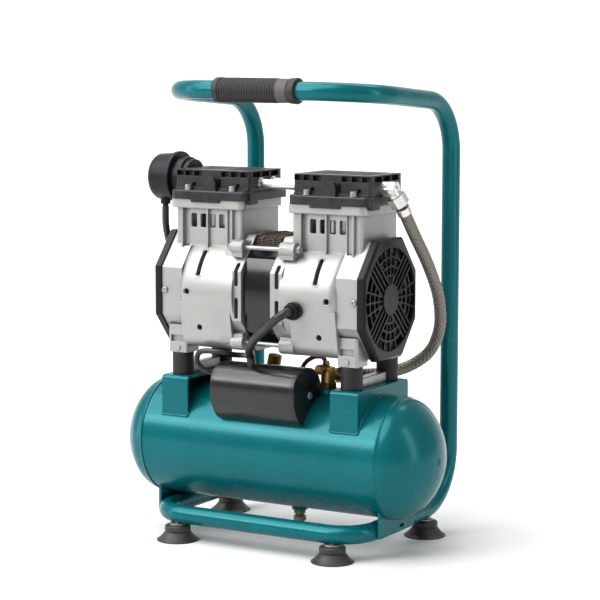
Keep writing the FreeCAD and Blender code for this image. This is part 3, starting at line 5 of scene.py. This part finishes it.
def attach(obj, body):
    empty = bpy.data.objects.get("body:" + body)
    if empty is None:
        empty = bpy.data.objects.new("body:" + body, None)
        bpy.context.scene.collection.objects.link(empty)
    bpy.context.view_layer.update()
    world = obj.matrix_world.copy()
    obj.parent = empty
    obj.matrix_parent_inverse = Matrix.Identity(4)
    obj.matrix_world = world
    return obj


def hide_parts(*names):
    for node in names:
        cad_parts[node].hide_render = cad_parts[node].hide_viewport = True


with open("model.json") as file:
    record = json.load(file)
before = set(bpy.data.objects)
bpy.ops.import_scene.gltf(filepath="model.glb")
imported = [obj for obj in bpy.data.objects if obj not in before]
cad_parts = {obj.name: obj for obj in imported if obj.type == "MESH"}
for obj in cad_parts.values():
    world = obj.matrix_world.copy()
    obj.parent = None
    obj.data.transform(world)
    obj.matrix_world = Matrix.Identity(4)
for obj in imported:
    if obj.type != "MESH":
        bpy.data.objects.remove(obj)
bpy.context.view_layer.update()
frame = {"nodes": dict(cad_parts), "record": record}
NODES = frame["nodes"]
SY, SZ = -33.75, -3.4      # layout to row frame, millimetres


def mm(x, y, z):
    return Vector((x / 1000.0, (y + SY) / 1000.0, (z + SZ) / 1000.0))


# ------------------------------------------------------------------ materials
def new_mat(name, base, rough, metal=0.0, coat=0.0, coat_rough=0.1, spec=0.5, col_var=0.12, col_scale=40.0, rough_var=0.12, rough_scale=60.0,
            grain=0.0, grain_scale=900.0, wave=0.0, wave_scale=25.0, edge=0.0006, spots=None, painted_crevice_shade=None, sheen=0.0, zone=None, lines=None, ior=None):
    m = bpy.data.materials.new(name)
    m.use_nodes = True
    nt = m.node_tree
    nt.nodes.clear()
    out = nt.nodes.new("ShaderNodeOutputMaterial")
    p = nt.nodes.new("ShaderNodeBsdfPrincipled")
    nt.links.new(p.outputs[0], out.inputs[0])
    p.inputs["Metallic"].default_value = metal
    p.inputs["Coat Weight"].default_value = coat
    p.inputs["Coat Roughness"].default_value = coat_rough
    p.inputs["Specular IOR Level"].default_value = spec
    if sheen:
        p.inputs["Sheen Weight"].default_value = sheen
    tc = nt.nodes.new("ShaderNodeTexCoord")

    def noise(scale, detail=4.0, rough_=0.55):
        n = nt.nodes.new("ShaderNodeTexNoise")
        n.inputs["Scale"].default_value = scale
        n.inputs["Detail"].default_value = detail
        n.inputs["Roughness"].default_value = rough_
        nt.links.new(tc.outputs["Object"], n.inputs["Vector"])
        return n

    def ramp(src, a, b, ca, cb):
        r = nt.nodes.new("ShaderNodeValToRGB")
        r.color_ramp.elements[0].position = a
        r.color_ramp.elements[1].position = b
        r.color_ramp.elements[0].color = ca
        r.color_ramp.elements[1].color = cb
        nt.links.new(src, r.inputs[0])
        return r
    n1 = noise(col_scale)
    lo = tuple(max(0.0, c * (1 - col_var)) for c in base[:3]) + (1,)
    hi = tuple(min(1.0, c * (1 + col_var)) for c in base[:3]) + (1,)
    col = ramp(n1.outputs[0], 0.35, 0.65, lo, hi).outputs[0]
    if spots:                      # (colour, scale, threshold, softness)
        n3 = noise(spots[1], 6.0, 0.7)
        msk = ramp(n3.outputs[0], spots[2], spots[2] + spots[3], (0, 0, 0, 1), (1, 1, 1, 1))
        mx = nt.nodes.new("ShaderNodeMix")
        mx.data_type = "RGBA"
        nt.links.new(msk.outputs[0], mx.inputs[0])
        nt.links.new(col, mx.inputs[6])
        mx.inputs[7].default_value = tuple(spots[0][:3]) + (1,)
        col = mx.outputs[2]
    if painted_crevice_shade:                       # (colour, strength): painted shade, the colour darkens in corners and crevices through an ambient occlusion mask
        ao = nt.nodes.new("ShaderNodeAmbientOcclusion")
        ao.inputs["Distance"].default_value = 0.006
        ao.samples = 4
        r = ramp(ao.outputs["AO"], 0.25, 0.85, (painted_crevice_shade[1],) * 3 + (1,), (0, 0, 0, 1))
        mx = nt.nodes.new("ShaderNodeMix")
        mx.data_type = "RGBA"
        nt.links.new(r.outputs[0], mx.inputs[0])
        nt.links.new(col, mx.inputs[6])
        mx.inputs[7].default_value = tuple(painted_crevice_shade[0][:3]) + (1,)
        col = mx.outputs[2]
    zmask = None
    if zone:                       # (kind, data, colour): a region of the piece with its own tone
        sp = nt.nodes.new("ShaderNodeSeparateXYZ")
        nt.links.new(tc.outputs["Object"], sp.inputs[0])

        def mth(op, a, b=None):
            q = nt.nodes.new("ShaderNodeMath")
            q.operation = op
            for i, v_ in enumerate((a, b)):
                if v_ is None:
                    continue
                if isinstance(v_, (int, float)):
                    q.inputs[i].default_value = v_
                else:
                    nt.links.new(v_, q.inputs[i])
            return q.outputs[0]
        if zone[0] == "band":      # between two x values
            zmask = mth("MULTIPLY", mth("GREATER_THAN", sp.outputs[0], zone[1][0]), mth("LESS_THAN", sp.outputs[0], zone[1][1]))
        else:                      # round the four tie rod lugs: (y0, z0, dy, dz, radius, x limit)
            y0, z0, dy, dz, rad, xl = zone[1]
            ay = mth("SUBTRACT", mth("ABSOLUTE", mth("SUBTRACT", sp.outputs[1], y0)), dy)
            az_ = mth("SUBTRACT", mth("ABSOLUTE", mth("SUBTRACT", sp.outputs[2], z0)), dz)
            d2 = mth("ADD", mth("MULTIPLY", ay, ay), mth("MULTIPLY", az_, az_))
            near = mth("LESS_THAN", d2, rad * rad)
            zmask = mth("MULTIPLY", near, mth("LESS_THAN", mth("ABSOLUTE", sp.outputs[0]), xl))
        mx = nt.nodes.new("ShaderNodeMix")
        mx.data_type = "RGBA"
        nt.links.new(zmask, mx.inputs[0])
        nt.links.new(col, mx.inputs[6])
        mx.inputs[7].default_value = tuple(zone[2][:3]) + (1,)
        col = mx.outputs[2]
    nt.links.new(col, p.inputs["Base Color"])
    n2 = noise(rough_scale, 5.0, 0.6)
    a, b = max(0.02, rough - rough_var), min(1.0, rough + rough_var)
    rr = nt.nodes.new("ShaderNodeMapRange")
    rr.inputs["From Min"].default_value = 0.3
    rr.inputs["From Max"].default_value = 0.7
    rr.inputs["To Min"].default_value = a
    rr.inputs["To Max"].default_value = b
    nt.links.new(n2.outputs[0], rr.inputs["Value"])
    nt.links.new(rr.outputs[0], p.inputs["Roughness"])
    normal = None
    if edge:
        bv = nt.nodes.new("ShaderNodeBevel")
        bv.samples = 4
        bv.inputs["Radius"].default_value = edge
        normal = bv.outputs[0]
    for strength, scale, dist in ((wave, wave_scale, 0.0006), (grain, grain_scale, 0.0002)):
        if strength > 0:
            nb = noise(scale, 3.0, 0.5)
            bp = nt.nodes.new("ShaderNodeBump")
            bp.inputs["Strength"].default_value = strength
            bp.inputs["Distance"].default_value = dist
            nt.links.new(nb.outputs[0], bp.inputs["Height"])
            if normal is not None:
                nt.links.new(normal, bp.inputs["Normal"])
            normal = bp.outputs[0]
    if zmask is not None and zone[0] == "lugs":
        nb = noise(420.0, 4.0, 0.65)
        mu = nt.nodes.new("ShaderNodeMath")
        mu.operation = "MULTIPLY"
        nt.links.new(nb.outputs[0], mu.inputs[0])
        nt.links.new(zmask, mu.inputs[1])
        bp = nt.nodes.new("ShaderNodeBump")
        bp.inputs["Strength"].default_value = 0.9
        bp.inputs["Distance"].default_value = 0.0012
        nt.links.new(mu.outputs[0], bp.inputs["Height"])
        nt.links.new(normal, bp.inputs["Normal"])
        normal = bp.outputs[0]
    if lines:                      # (pitch in metres, depth): stacked sheets along x
        wv = nt.nodes.new("ShaderNodeTexWave")
        wv.bands_direction = "X"
        wv.inputs["Scale"].default_value = 0.314159 / lines[0]
        wv.inputs["Distortion"].default_value = 0.3
        nt.links.new(tc.outputs["Object"], wv.inputs["Vector"])
        bp = nt.nodes.new("ShaderNodeBump")
        bp.inputs["Strength"].default_value = lines[1]
        bp.inputs["Distance"].default_value = 0.0003
        nt.links.new(wv.outputs[1], bp.inputs["Height"])
        if normal is not None:
            nt.links.new(normal, bp.inputs["Normal"])
        normal = bp.outputs[0]
    if normal is not None:
        nt.links.new(normal, p.inputs["Normal"])
    return m


TEAL = (0.0014, 0.116, 0.131)
M = {
    "teal": new_mat("teal_enamel", TEAL, 0.27, metal=0.30, coat=0.10, coat_rough=0.06, spec=0.15, col_var=0.06, col_scale=14, rough_var=0.03, rough_scale=20, grain=0.03, grain_scale=800, wave=0.04, wave_scale=60),
    # cast alloy: painted shade darkens its crevices and steps through the ambient occlusion mask
    "cast": new_mat("cast_alloy", (0.375, 0.377, 0.362), 0.42, metal=0.66, col_var=0.025, col_scale=25, rough_var=0.05, rough_scale=60, grain=0.30, grain_scale=1300, edge=0.0011, painted_crevice_shade=((0.13, 0.125, 0.12), 0.70),
                    zone=("lugs", (-0.03375, 0.2631, 0.045, 0.0495, 0.0098, 0.046), (0.36, 0.36, 0.348))),
    "black_head": new_mat("head_black_paint", (0.0115, 0.012, 0.0138), 0.36, col_var=0.2, col_scale=60, rough_var=0.10, grain=0.40, grain_scale=1000, edge=0.0009, spec=0.45),
    "black_plastic": new_mat("black_moulding", (0.0060, 0.0066, 0.0088), 0.34, col_var=0.15, col_scale=30, rough_var=0.06, grain=0.18, grain_scale=1500, edge=0.0010, spec=0.22),
    "box_plastic": new_mat("box_moulding", (0.0100, 0.0102, 0.0108), 0.22, col_var=0.15, col_scale=30, rough_var=0.05, grain=0.10, grain_scale=1500, edge=0.0012, spec=0.5),
    "rubber": new_mat("foot_rubber", (0.030, 0.028, 0.027), 0.50, col_var=0.3, col_scale=70, rough_var=0.12, grain=0.35, grain_scale=600, edge=0.0006, spec=0.42),
    "mount_rubber": new_mat("mount_rubber", (0.0135, 0.0135, 0.014), 0.55, col_var=0.3, col_scale=50, rough_var=0.12, grain=0.35, grain_scale=600, edge=0.0008, spec=0.35),
    "grip": new_mat("grip_rubber", (0.017, 0.015, 0.014), 0.52, col_var=0.25, col_scale=60, rough_var=0.12, grain=0.3, grain_scale=900, edge=0.0003, spec=0.4, zone=("band", (0.0272, 0.0386), (0.075, 0.069, 0.064))),
    "zinc": new_mat("zinc_plate", (0.34, 0.34, 0.335), 0.36, metal=0.75, col_var=0.10, col_scale=120, rough_var=0.10, grain=0.22, grain_scale=700),
    "steel": new_mat("machined_steel", (0.50, 0.50, 0.51), 0.30, metal=1.0, col_var=0.1, col_scale=80, rough_var=0.1, grain=0.2, grain_scale=1500),
    "nickel": new_mat("nickel_plate", (0.74, 0.73, 0.70), 0.27, metal=0.95, col_var=0.08, col_scale=100, rough_var=0.08, grain=0.18, grain_scale=700),
    # turned brass: painted shade darkens its hollows through the ambient occlusion mask
    "brass": new_mat("turned_brass", (0.42, 0.255, 0.085), 0.34, metal=0.92, col_var=0.25, col_scale=130, rough_var=0.14, grain=0.3, grain_scale=800, painted_crevice_shade=((0.09, 0.05, 0.02), 0.75)),
    # dull brass: painted shade darkens its hollows through the ambient occlusion mask
    "old_brass": new_mat("dull_brass", (0.20, 0.165, 0.115), 0.42, metal=0.7, col_var=0.25, col_scale=130, rough_var=0.14, grain=0.3, grain_scale=800, painted_crevice_shade=((0.06, 0.045, 0.03), 0.75)),
    "lam": new_mat("stator_laminations", (0.0055, 0.0055, 0.0058), 0.14, metal=0.0, col_var=0.15, col_scale=80, rough_var=0.04, grain=0.03, grain_scale=600, edge=0.0, spec=0.50, lines=(0.0011, 0.08)),
    "copper": new_mat("winding_varnish", (0.026, 0.013, 0.0075), 0.42, metal=0.1, col_var=0.5, col_scale=160, rough_var=0.15, grain=0.5, grain_scale=300),
    "red": new_mat("red_tube", (0.10, 0.005, 0.012), 0.25, col_var=0.2, col_scale=60, rough_var=0.06, coat=0.3),
    "cable": new_mat("cable_jacket", (0.0125, 0.0125, 0.0135), 0.34, col_var=0.25, col_scale=60, rough_var=0.08, grain=0.2, grain_scale=500),
    # braid wire: painted shade darkens the gaps between the wires through the ambient occlusion mask
    "braid": new_mat("braid_wire", (0.185, 0.168, 0.142), 0.36, metal=0.55, col_var=0.45, col_scale=1100, rough_var=0.15, rough_scale=500, edge=0.0, painted_crevice_shade=((0.045, 0.042, 0.038), 0.8)),
    "felt": new_mat("filter_felt", (0.6, 0.55, 0.42), 0.9, col_var=0.15, col_scale=300, rough_var=0.05, grain=0.9, grain_scale=500, edge=0.0, sheen=0.3),
    "lacing": new_mat("lacing_cord", (0.085, 0.060, 0.038), 0.7, col_var=0.3, col_scale=300, rough_var=0.1, grain=0.5, grain_scale=700, edge=0.0),
    "dial": new_mat("gauge_dial", (0.70, 0.70, 0.68), 0.35, col_var=0.04, col_scale=40, rough_var=0.05, coat=0.3, edge=0.0),
    "ink": new_mat("dial_ink", (0.01, 0.01, 0.01), 0.5, col_var=0.1, rough_var=0.05, edge=0.0),
    "needle": new_mat("needle_red", (0.45, 0.015, 0.012), 0.35, col_var=0.1, rough_var=0.05, edge=0.0),
    "knob_red": new_mat("knob_red", (0.33, 0.012, 0.010), 0.35, col_var=0.12, rough_var=0.08, grain=0.2),
    "ptfe": new_mat("seal_ptfe", (0.06, 0.045, 0.035), 0.5, col_var=0.2, rough_var=0.1, grain=0.3),
}
BY_SLOT = {"teal_paint": "teal", "cast_alloy": "cast", "zinc_steel": "zinc", "nickel": "nickel", "black_plastic": "black_plastic", "black_paint": "black_head", "rubber": "rubber", "grip_rubber": "grip",
           "lamination": "lam", "copper_winding": "copper", "rotor_steel": "steel", "brass": "brass", "braid": "braid", "red_tube": "red", "cable": "cable", "bearing_steel": "steel", "filter_felt": "felt",
           "gauge_face": "dial", "needle_red": "needle", "red_knob": "knob_red", "seal_ptfe": "ptfe"}
slots = {s["node"]: s["material_slot"] for s in frame["record"]["subparts"]}
BY_NODE = {"rubber_mounts": "mount_rubber", "capacitor_box": "box_plastic", "box_end_caps": "box_plastic", "pressure_gauge": "black_plastic", "crossover_pipes": "nickel", "drain_valve_body": "old_brass", "drain_valve_knob": "old_brass"}
for name, ob in NODES.items():
    ob.data.materials.clear()
    ob.data.materials.append(M[BY_NODE.get(name, BY_SLOT[slots[name]])])
    for poly in ob.data.polygons:
        poly.use_smooth = True
    w = ob.modifiers.new("weld", "WELD")
    w.merge_threshold = 0.000004
    try:
        em = ob.modifiers.new("sharp", "EDGE_SPLIT")
        em.split_angle = math.radians(28)
    except Exception:
        pass


# ------------------------------------------------------------------ mesh helpers
def make(name, verts, faces, mat, body="compressor", smooth=True, uvs=None):
    me = bpy.data.meshes.new(name)
    me.from_pydata([tuple(v) for v in verts], [], faces)
    me.validate()
    me.update()
    ob = bpy.data.objects.new(name, me)
    bpy.context.scene.collection.objects.link(ob)
    me.materials.append(mat)
    for p in me.polygons:
        p.use_smooth = smooth
    bm = bmesh.new()
    bm.from_mesh(me)
    bmesh.ops.recalc_face_normals(bm, faces=bm.faces)
    bm.to_mesh(me)
    bm.free()
    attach(ob, body)
    return ob


def merge(name, parts, mat, body="compressor", smooth=True):
    V, F = [], []
    for v, f in parts:
        o = len(V)
        V += list(v)
        F += [tuple(i + o for i in q) for q in f]
    return make(name, V, F, mat, body, smooth)


def path_points(points, step=0.8):
    """the CAD route: straight runs joined by tangent arcs; points in layout millimetres"""
    P = [Vector(p) for p in points]
    out = []
    last = P[0]

    def seg(a, b):
        n = max(1, int((b - a).length / step))
        for i in range(n):
            out.append(a.lerp(b, i / n))
    for i in range(1, len(P) - 1):
        a, k, b = P[i - 1], P[i], P[i + 1]
        d1, d2 = (k - a), (b - k)
        l1, l2 = d1.length, d2.length
        d1.normalize()
        d2.normalize()
        turn = math.acos(max(-1, min(1, d1.dot(d2))))
        t = 0.45 * min(l1, l2)
        R = t / math.tan(turn / 2)
        s, e = k - d1 * t, k + d2 * t
        bis = (d2 - d1).normalized()
        c = k + bis * (R / math.cos(turn / 2))
        seg(last, s)
        n = max(2, int(R * turn / step))
        ax = d1.cross(d2).normalized()
        for j in range(n):
            q = Quaternion(ax, turn * j / n)
            out.append(c + q @ (s - c))
        last = e
    seg(last, P[-1])
    out.append(P[-1])
    return out


def frames_along(pts):
    """rotation-minimising frames"""
    T = []
    for i in range(len(pts)):
        a = pts[max(0, i - 1)]
        b = pts[min(len(pts) - 1, i + 1)]
        T.append((b - a).normalized())
    n = T[0].orthogonal().normalized()
    fr = []
    for i in range(len(pts)):
        n = (n - T[i] * n.dot(T[i])).normalized()
        fr.append((pts[i], n.copy(), T[i].cross(n)))
    return fr


def tube(pts, radius, sides=24, rad_fn=None, ends=True):
    fr = frames_along(pts)
    V, F = [], []
    s = 0.0
    for i, (p, n, b) in enumerate(fr):
        if i:
            s += (pts[i] - pts[i - 1]).length
        for j in range(sides):
            a = 2 * math.pi * j / sides
            r = radius if rad_fn is None else rad_fn(a, s)
            q = p + (n * math.cos(a) + b * math.sin(a)) * r
            V.append(mm(*q))
    m = len(fr)
    for i in range(m - 1):
        for j in range(sides):
            k = (j + 1) % sides
            F.append((i * sides + j, i * sides + k, (i + 1) * sides + k, (i + 1) * sides + j))
    if ends:
        F.append(tuple(range(sides - 1, -1, -1)))
        F.append(tuple((m - 1) * sides + j for j in range(sides)))
    return V, F


# ------------------------------------------------------------------ braided hose: woven wire over the hose's route
EL = Vector((131.5, -12.0, 379.4))
HP0 = (138.8, -2.0, 361.0)
HOSE = [HP0, (143.0, 14.0, 335.0), (146.5, 42.0, 300.0), (144.0, 72.0, 264.0), (138.5, 88.5, 230.0), (124.5, 95.5, 200.5), (101.5, 88.5, 183.0), (82.0, 66.0, 177.5), (71.5, 38.0, 179.5), (62.6, 13.5, 182.0)]


def braid_r(a, s):
    k = 2 * math.pi / 13.0
    n = 9
    w1 = math.cos(n * a + k * s * 2.4)
    w2 = math.cos(n * a - k * s * 2.4)
    over = math.cos(n * a) * math.cos(k * s * 2.4)
    return 5.95 + 0.42 * max(w1 if over > 0 else w1 * 0.6, w2 if over <= 0 else w2 * 0.6)


hp = path_points(HOSE, 0.42)
v, f = tube(hp, 6.2, 72, braid_r)
hose = make("hose_braid", v, f, M["braid"])
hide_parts("braided_hose")

# ------------------------------------------------------------------ weld beads
random.seed(7)


def bead(pts, r=1.5, pitch=2.2, sides=10, squash=0.75):
    """rippled weld bead along points"""
    def rf(a, s):
        return r * (0.80 + 0.20 * abs(math.sin(math.pi * s / pitch)) + 0.05 * math.sin(1.7 * s))
    return tube(pts, r, sides, rf)


beads = []
TZ, TR = 103.95, 62.8
# ends of both saddle brackets on the tank
for sx in (1, -1):
    for xe in (101.7 * sx - 16.0, 101.7 * sx + 16.0):
        for sy in (1, -1):
            a0 = math.asin(min(1, 51.0 / TR))
            a1 = math.asin(min(1, 54.6 / TR))
            pts = []
            for i in range(12):
                a = a0 + (a1 - a0) * i / 11.0
                pts.append(Vector((xe, sy * math.sin(a) * (TR + 0.3), TZ + math.cos(a) * (TR + 0.3))))
            beads.append(bead(pts, 1.4))
    for sy in (1, -1):
        y = 54.6 * sy
        z = TZ + math.sqrt(TR * TR - 54.6 ** 2)
        pts = [Vector((101.7 * sx - 16 + 32 * i / 40.0, y, z)) for i in range(41)]
        beads.append(bead(pts, 1.5))
    # outer web of the bracket
    for xe in (118.0 * sx, 114.4 * sx):
        pts = []
        for i in range(90):
            a = math.radians(-57.5 + 115.0 * i / 89.0)
            pts.append(Vector((xe, math.sin(a) * (TR + 0.3), TZ + math.cos(a) * (TR + 0.3))))
        beads.append(bead(pts, 1.3))
    # cradle plates under the tank
    xc = (122 + 9.65 + 1.6) * sx
    for side in (-1.9, 1.9):
        pts = []
        for i in range(60):
            a = math.radians(-34 + 68 * i / 59.0)
            pts.append(Vector((xc + side, math.sin(a) * (TR + 0.2), TZ - math.cos(a) * (TR + 0.2))))
        beads.append(bead(pts, 1.3))
wb = merge("weld_beads", beads, M["teal"])

# ------------------------------------------------------------------ cast lips round the two slots and the holes in each barrel
lips = []


def lip(x0, z0, half_l, half_w, r=0.62, tilt=0.0):
    n = 64
    pts = []
    for i in range(n + 1):
        a = 2 * math.pi * i / n
        dx, dz = half_w * math.cos(a), half_w * math.sin(a)
        dz += (half_l - half_w) * (1 if math.sin(a) >= 0 else -1)
        x = x0 + dx + tilt * dz
        z = z0 + dz
        y = -math.sqrt(max(1.0, 59.5 ** 2 - (z - 266.5) ** 2))
        pts.append(Vector((x, y + 0.12, z)))
    lips.append(tube(pts, r, 8, None, False))


lip(-70.8, 297.2, 14.5, 3.9)
lip(69.6, 295.6, 14.5, 3.9)
for hx, hz in ((-83.1, 268.0), (-70.7, 230.5), (83.8, 267.4), (72.3, 229.6)):
    lip(hx, hz, 4.2, 4.2, 0.5)
merge("slot_lips", lips, M["cast"])

# ------------------------------------------------------------------ winding: varnished wires laid over the coil, laced twice
wires = []
hump = [(-30.5, 316.4), (-29.6, 320.0), (-27.4, 323.6), (-23.5, 326.0), (-19.0, 327.2), (-12.0, 327.6), (0.0, 327.8), (12.0, 327.6), (19.0, 327.2), (23.5, 326.0), (27.4, 323.6), (29.6, 320.0), (30.5, 316.4)]


def poly_at(pl, t):
    L = [0.0]
    for i in range(1, len(pl)):
        L.append(L[-1] + math.dist(pl[i], pl[i - 1]))
    d = t * L[-1]
    for i in range(1, len(pl)):
        if d <= L[i] or i == len(pl) - 1:
            k = (d - L[i - 1]) / max(1e-9, L[i] - L[i - 1])
            return (pl[i - 1][0] + (pl[i][0] - pl[i - 1][0]) * k, pl[i - 1][1] + (pl[i][1] - pl[i - 1][1]) * k)


for i in range(34):
    y, z = poly_at(hump, (i + 0.5) / 34.0)
    ph = random.uniform(0, 6.28)
    pts = [Vector((x, y + 0.35 * math.sin(x * 0.4 + ph), z + 0.15 * math.sin(x * 0.3 + ph))) for x in [-16.0 + 29.6 * k / 22.0 for k in range(23)]]
    wires.append(tube(pts, 0.95, 8))
make_w = merge("winding_wires", wires, M["copper"])
lace = []
for x in (-8.5, 5.0):
    pts = [Vector((x + 0.8 * math.sin(k * 0.9), *poly_at(hump, k / 60.0))) for k in range(61)]
    pts = [Vector((q.x, q.y * 1.035, q.z + 0.9)) for q in pts]
    lace.append(tube(pts, 0.7, 8))
merge("winding_lacing", lace, M["lacing"])

# ------------------------------------------------------------------ gauge dial with ticks
GX, GZ = -14.0, 128.0


def disc_y(cx, cz, r0, r1, y0, y1, n=64):
    V_, F_ = [], []
    for i in range(n):
        a = 2 * math.pi * i / n
        for r, y in ((r0, y0), (r1, y0), (r1, y1), (r0, y1)):
            V_.append(mm(cx + r * math.cos(a), y, cz + r * math.sin(a)))
    for i in range(n):
        k = (i + 1) % n
        for j in range(4):
            F_.append((4 * i + j, 4 * i + (j + 1) % 4, 4 * k + (j + 1) % 4, 4 * k + j))
    return V_, F_


merge("gauge_dial_plate", [disc_y(GX, GZ, 1.2, 18.2, 103.02, 103.22)], M["dial"], smooth=False)
ticks = []
for i in range(28):
    a = math.radians(225 - 270 * i / 27.0)        # as read from the back, clockwise
    r0 = 12.6 if i % 3 == 0 else 14.2
    w_ = 0.34 if i % 3 == 0 else 0.2
    c, s_ = -math.cos(a), math.sin(a)
    px_, pz_ = -s_, c
    vv = []
    for y in (103.2, 103.32):
        for r, sg in ((r0, -1), (16.6, -1), (16.6, 1), (r0, 1)):
            vv.append(mm(GX + r * c + sg * w_ * px_, y, GZ + r * s_ + sg * w_ * pz_))
    ticks.append((vv, [(0, 1, 2, 3), (7, 6, 5, 4), (0, 4, 5, 1), (1, 5, 6, 2), (2, 6, 7, 3), (3, 7, 4, 0)]))
merge("gauge_ticks", ticks, M["ink"], smooth=False)

# ------------------------------------------------------------------ stage, light, camera
floor_me = bpy.data.meshes.new("floor")
S = 9.0
N = 24
V, F = [], []
# floor that sweeps up into the backdrop far behind
prof = [(-S, 0.0)] + [(-S + (S + 3.0) * i / 10.0, 0.0) for i in range(1, 11)] + [(3.0 + 2.0 * math.sin(math.pi / 2 * i / 12), 2.0 - 2.0 * math.cos(math.pi / 2 * i / 12)) for i in range(1, 13)] + [(5.0, 6.0)]
for (py, pz) in prof:
    V.append((-9.0, py, pz))
    V.append((9.0, py, pz))
for i in range(len(prof) - 1):
    F.append((2 * i, 2 * i + 1, 2 * i + 3, 2 * i + 2))
ang = math.radians(30.3)
rot = Matrix.Rotation(ang, 4, "Z")
V = [tuple(rot @ Vector(q)) for q in V]
floor_me.from_pydata(V, [], F)
for p in floor_me.polygons:
    p.use_smooth = True
floor = bpy.data.objects.new("floor", floor_me)
bpy.context.scene.collection.objects.link(floor)
fm = new_mat("floor_white", (0.70, 0.70, 0.70), 0.6, col_var=0.01, col_scale=2, rough_var=0.05, edge=0.0, spec=0.2)
floor_me.materials.append(fm)

world = bpy.data.worlds.new("w")
bpy.context.scene.world = world
world.use_nodes = True
bg = world.node_tree.nodes["Background"]
bg.inputs[0].default_value = (1, 1, 1, 1)
bg.inputs[1].default_value = 1.0
wnt = world.node_tree
wtc = wnt.nodes.new("ShaderNodeTexCoord")
wsp = wnt.nodes.new("ShaderNodeSeparateXYZ")
wnt.links.new(wtc.outputs["Generated"], wsp.inputs[0])
wmr = wnt.nodes.new("ShaderNodeMapRange")
wmr.inputs[1].default_value = -0.15
wmr.inputs[2].default_value = 0.75
wmr.inputs[3].default_value = 0.24
wmr.inputs[4].default_value = 0.50
wnt.links.new(wsp.outputs[2], wmr.inputs[0])
wnt.links.new(wmr.outputs[0], bg.inputs[0])


def area(name, loc, target, size, power, size_y=None, color=(1, 1, 1)):
    l = bpy.data.lights.new(name, "AREA")
    l.energy = power
    l.color = color
    l.size = size
    if size_y:
        l.shape = "RECTANGLE"
        l.size_y = size_y
    o = bpy.data.objects.new(name, l)
    bpy.context.scene.collection.objects.link(o)
    o.location = loc
    d = Vector(target) - Vector(loc)
    o.rotation_euler = d.to_track_quat("-Z", "Y").to_euler()
    return o


sun_d = bpy.data.lights.new("sun_soft", "SUN")
sun_d.energy = 3.3
sun_d.angle = math.radians(60)
sun_o = bpy.data.objects.new("sun_soft", sun_d)
bpy.context.scene.collection.objects.link(sun_o)
sun_o.rotation_euler = Vector((0.36, 0.52, -1.0)).to_track_quat("-Z", "Y").to_euler()
area("key_box", (-0.55, -1.25, 1.45), (0, 0, 0.25), 1.0, 4, 0.6)
area("front_box", (-0.85, -1.50, 0.98), (0, 0, 0.27), 0.9, 9, 0.42)
area("left_strip", (-1.7, -0.9, 0.7), (0, 0, 0.25), 0.25, 6, 1.5)
area("right_strip", (1.75, 0.05, 0.75), (0, 0, 0.25), 0.3, 5, 1.5)
area("backdrop_wash", (-0.7, 1.2, 2.8), (-1.7, 2.9, 0.0), 2.6, 80, 2.0)

cam_d = bpy.data.cameras.new("cam")
cam = bpy.data.objects.new("cam", cam_d)
bpy.context.scene.collection.objects.link(cam)
cam_d.sensor_width = 36.0
cam_d.lens = 127.17
az, el, roll = math.radians(30.32), math.radians(7.17), math.radians(0.07)
cam.location = (1.1234, -1.8887 + SY / 1000.0, 0.5342 + SZ / 1000.0)
look = Vector((-math.sin(az) * math.cos(el), math.cos(az) * math.cos(el), -math.sin(el)))
q = look.to_track_quat("-Z", "Y")
cam.rotation_mode = "QUATERNION"
cam.rotation_quaternion = q @ Quaternion((0, 0, 1), roll)
bpy.context.scene.camera = cam
bpy.context.scene.view_settings.view_transform = "Standard"
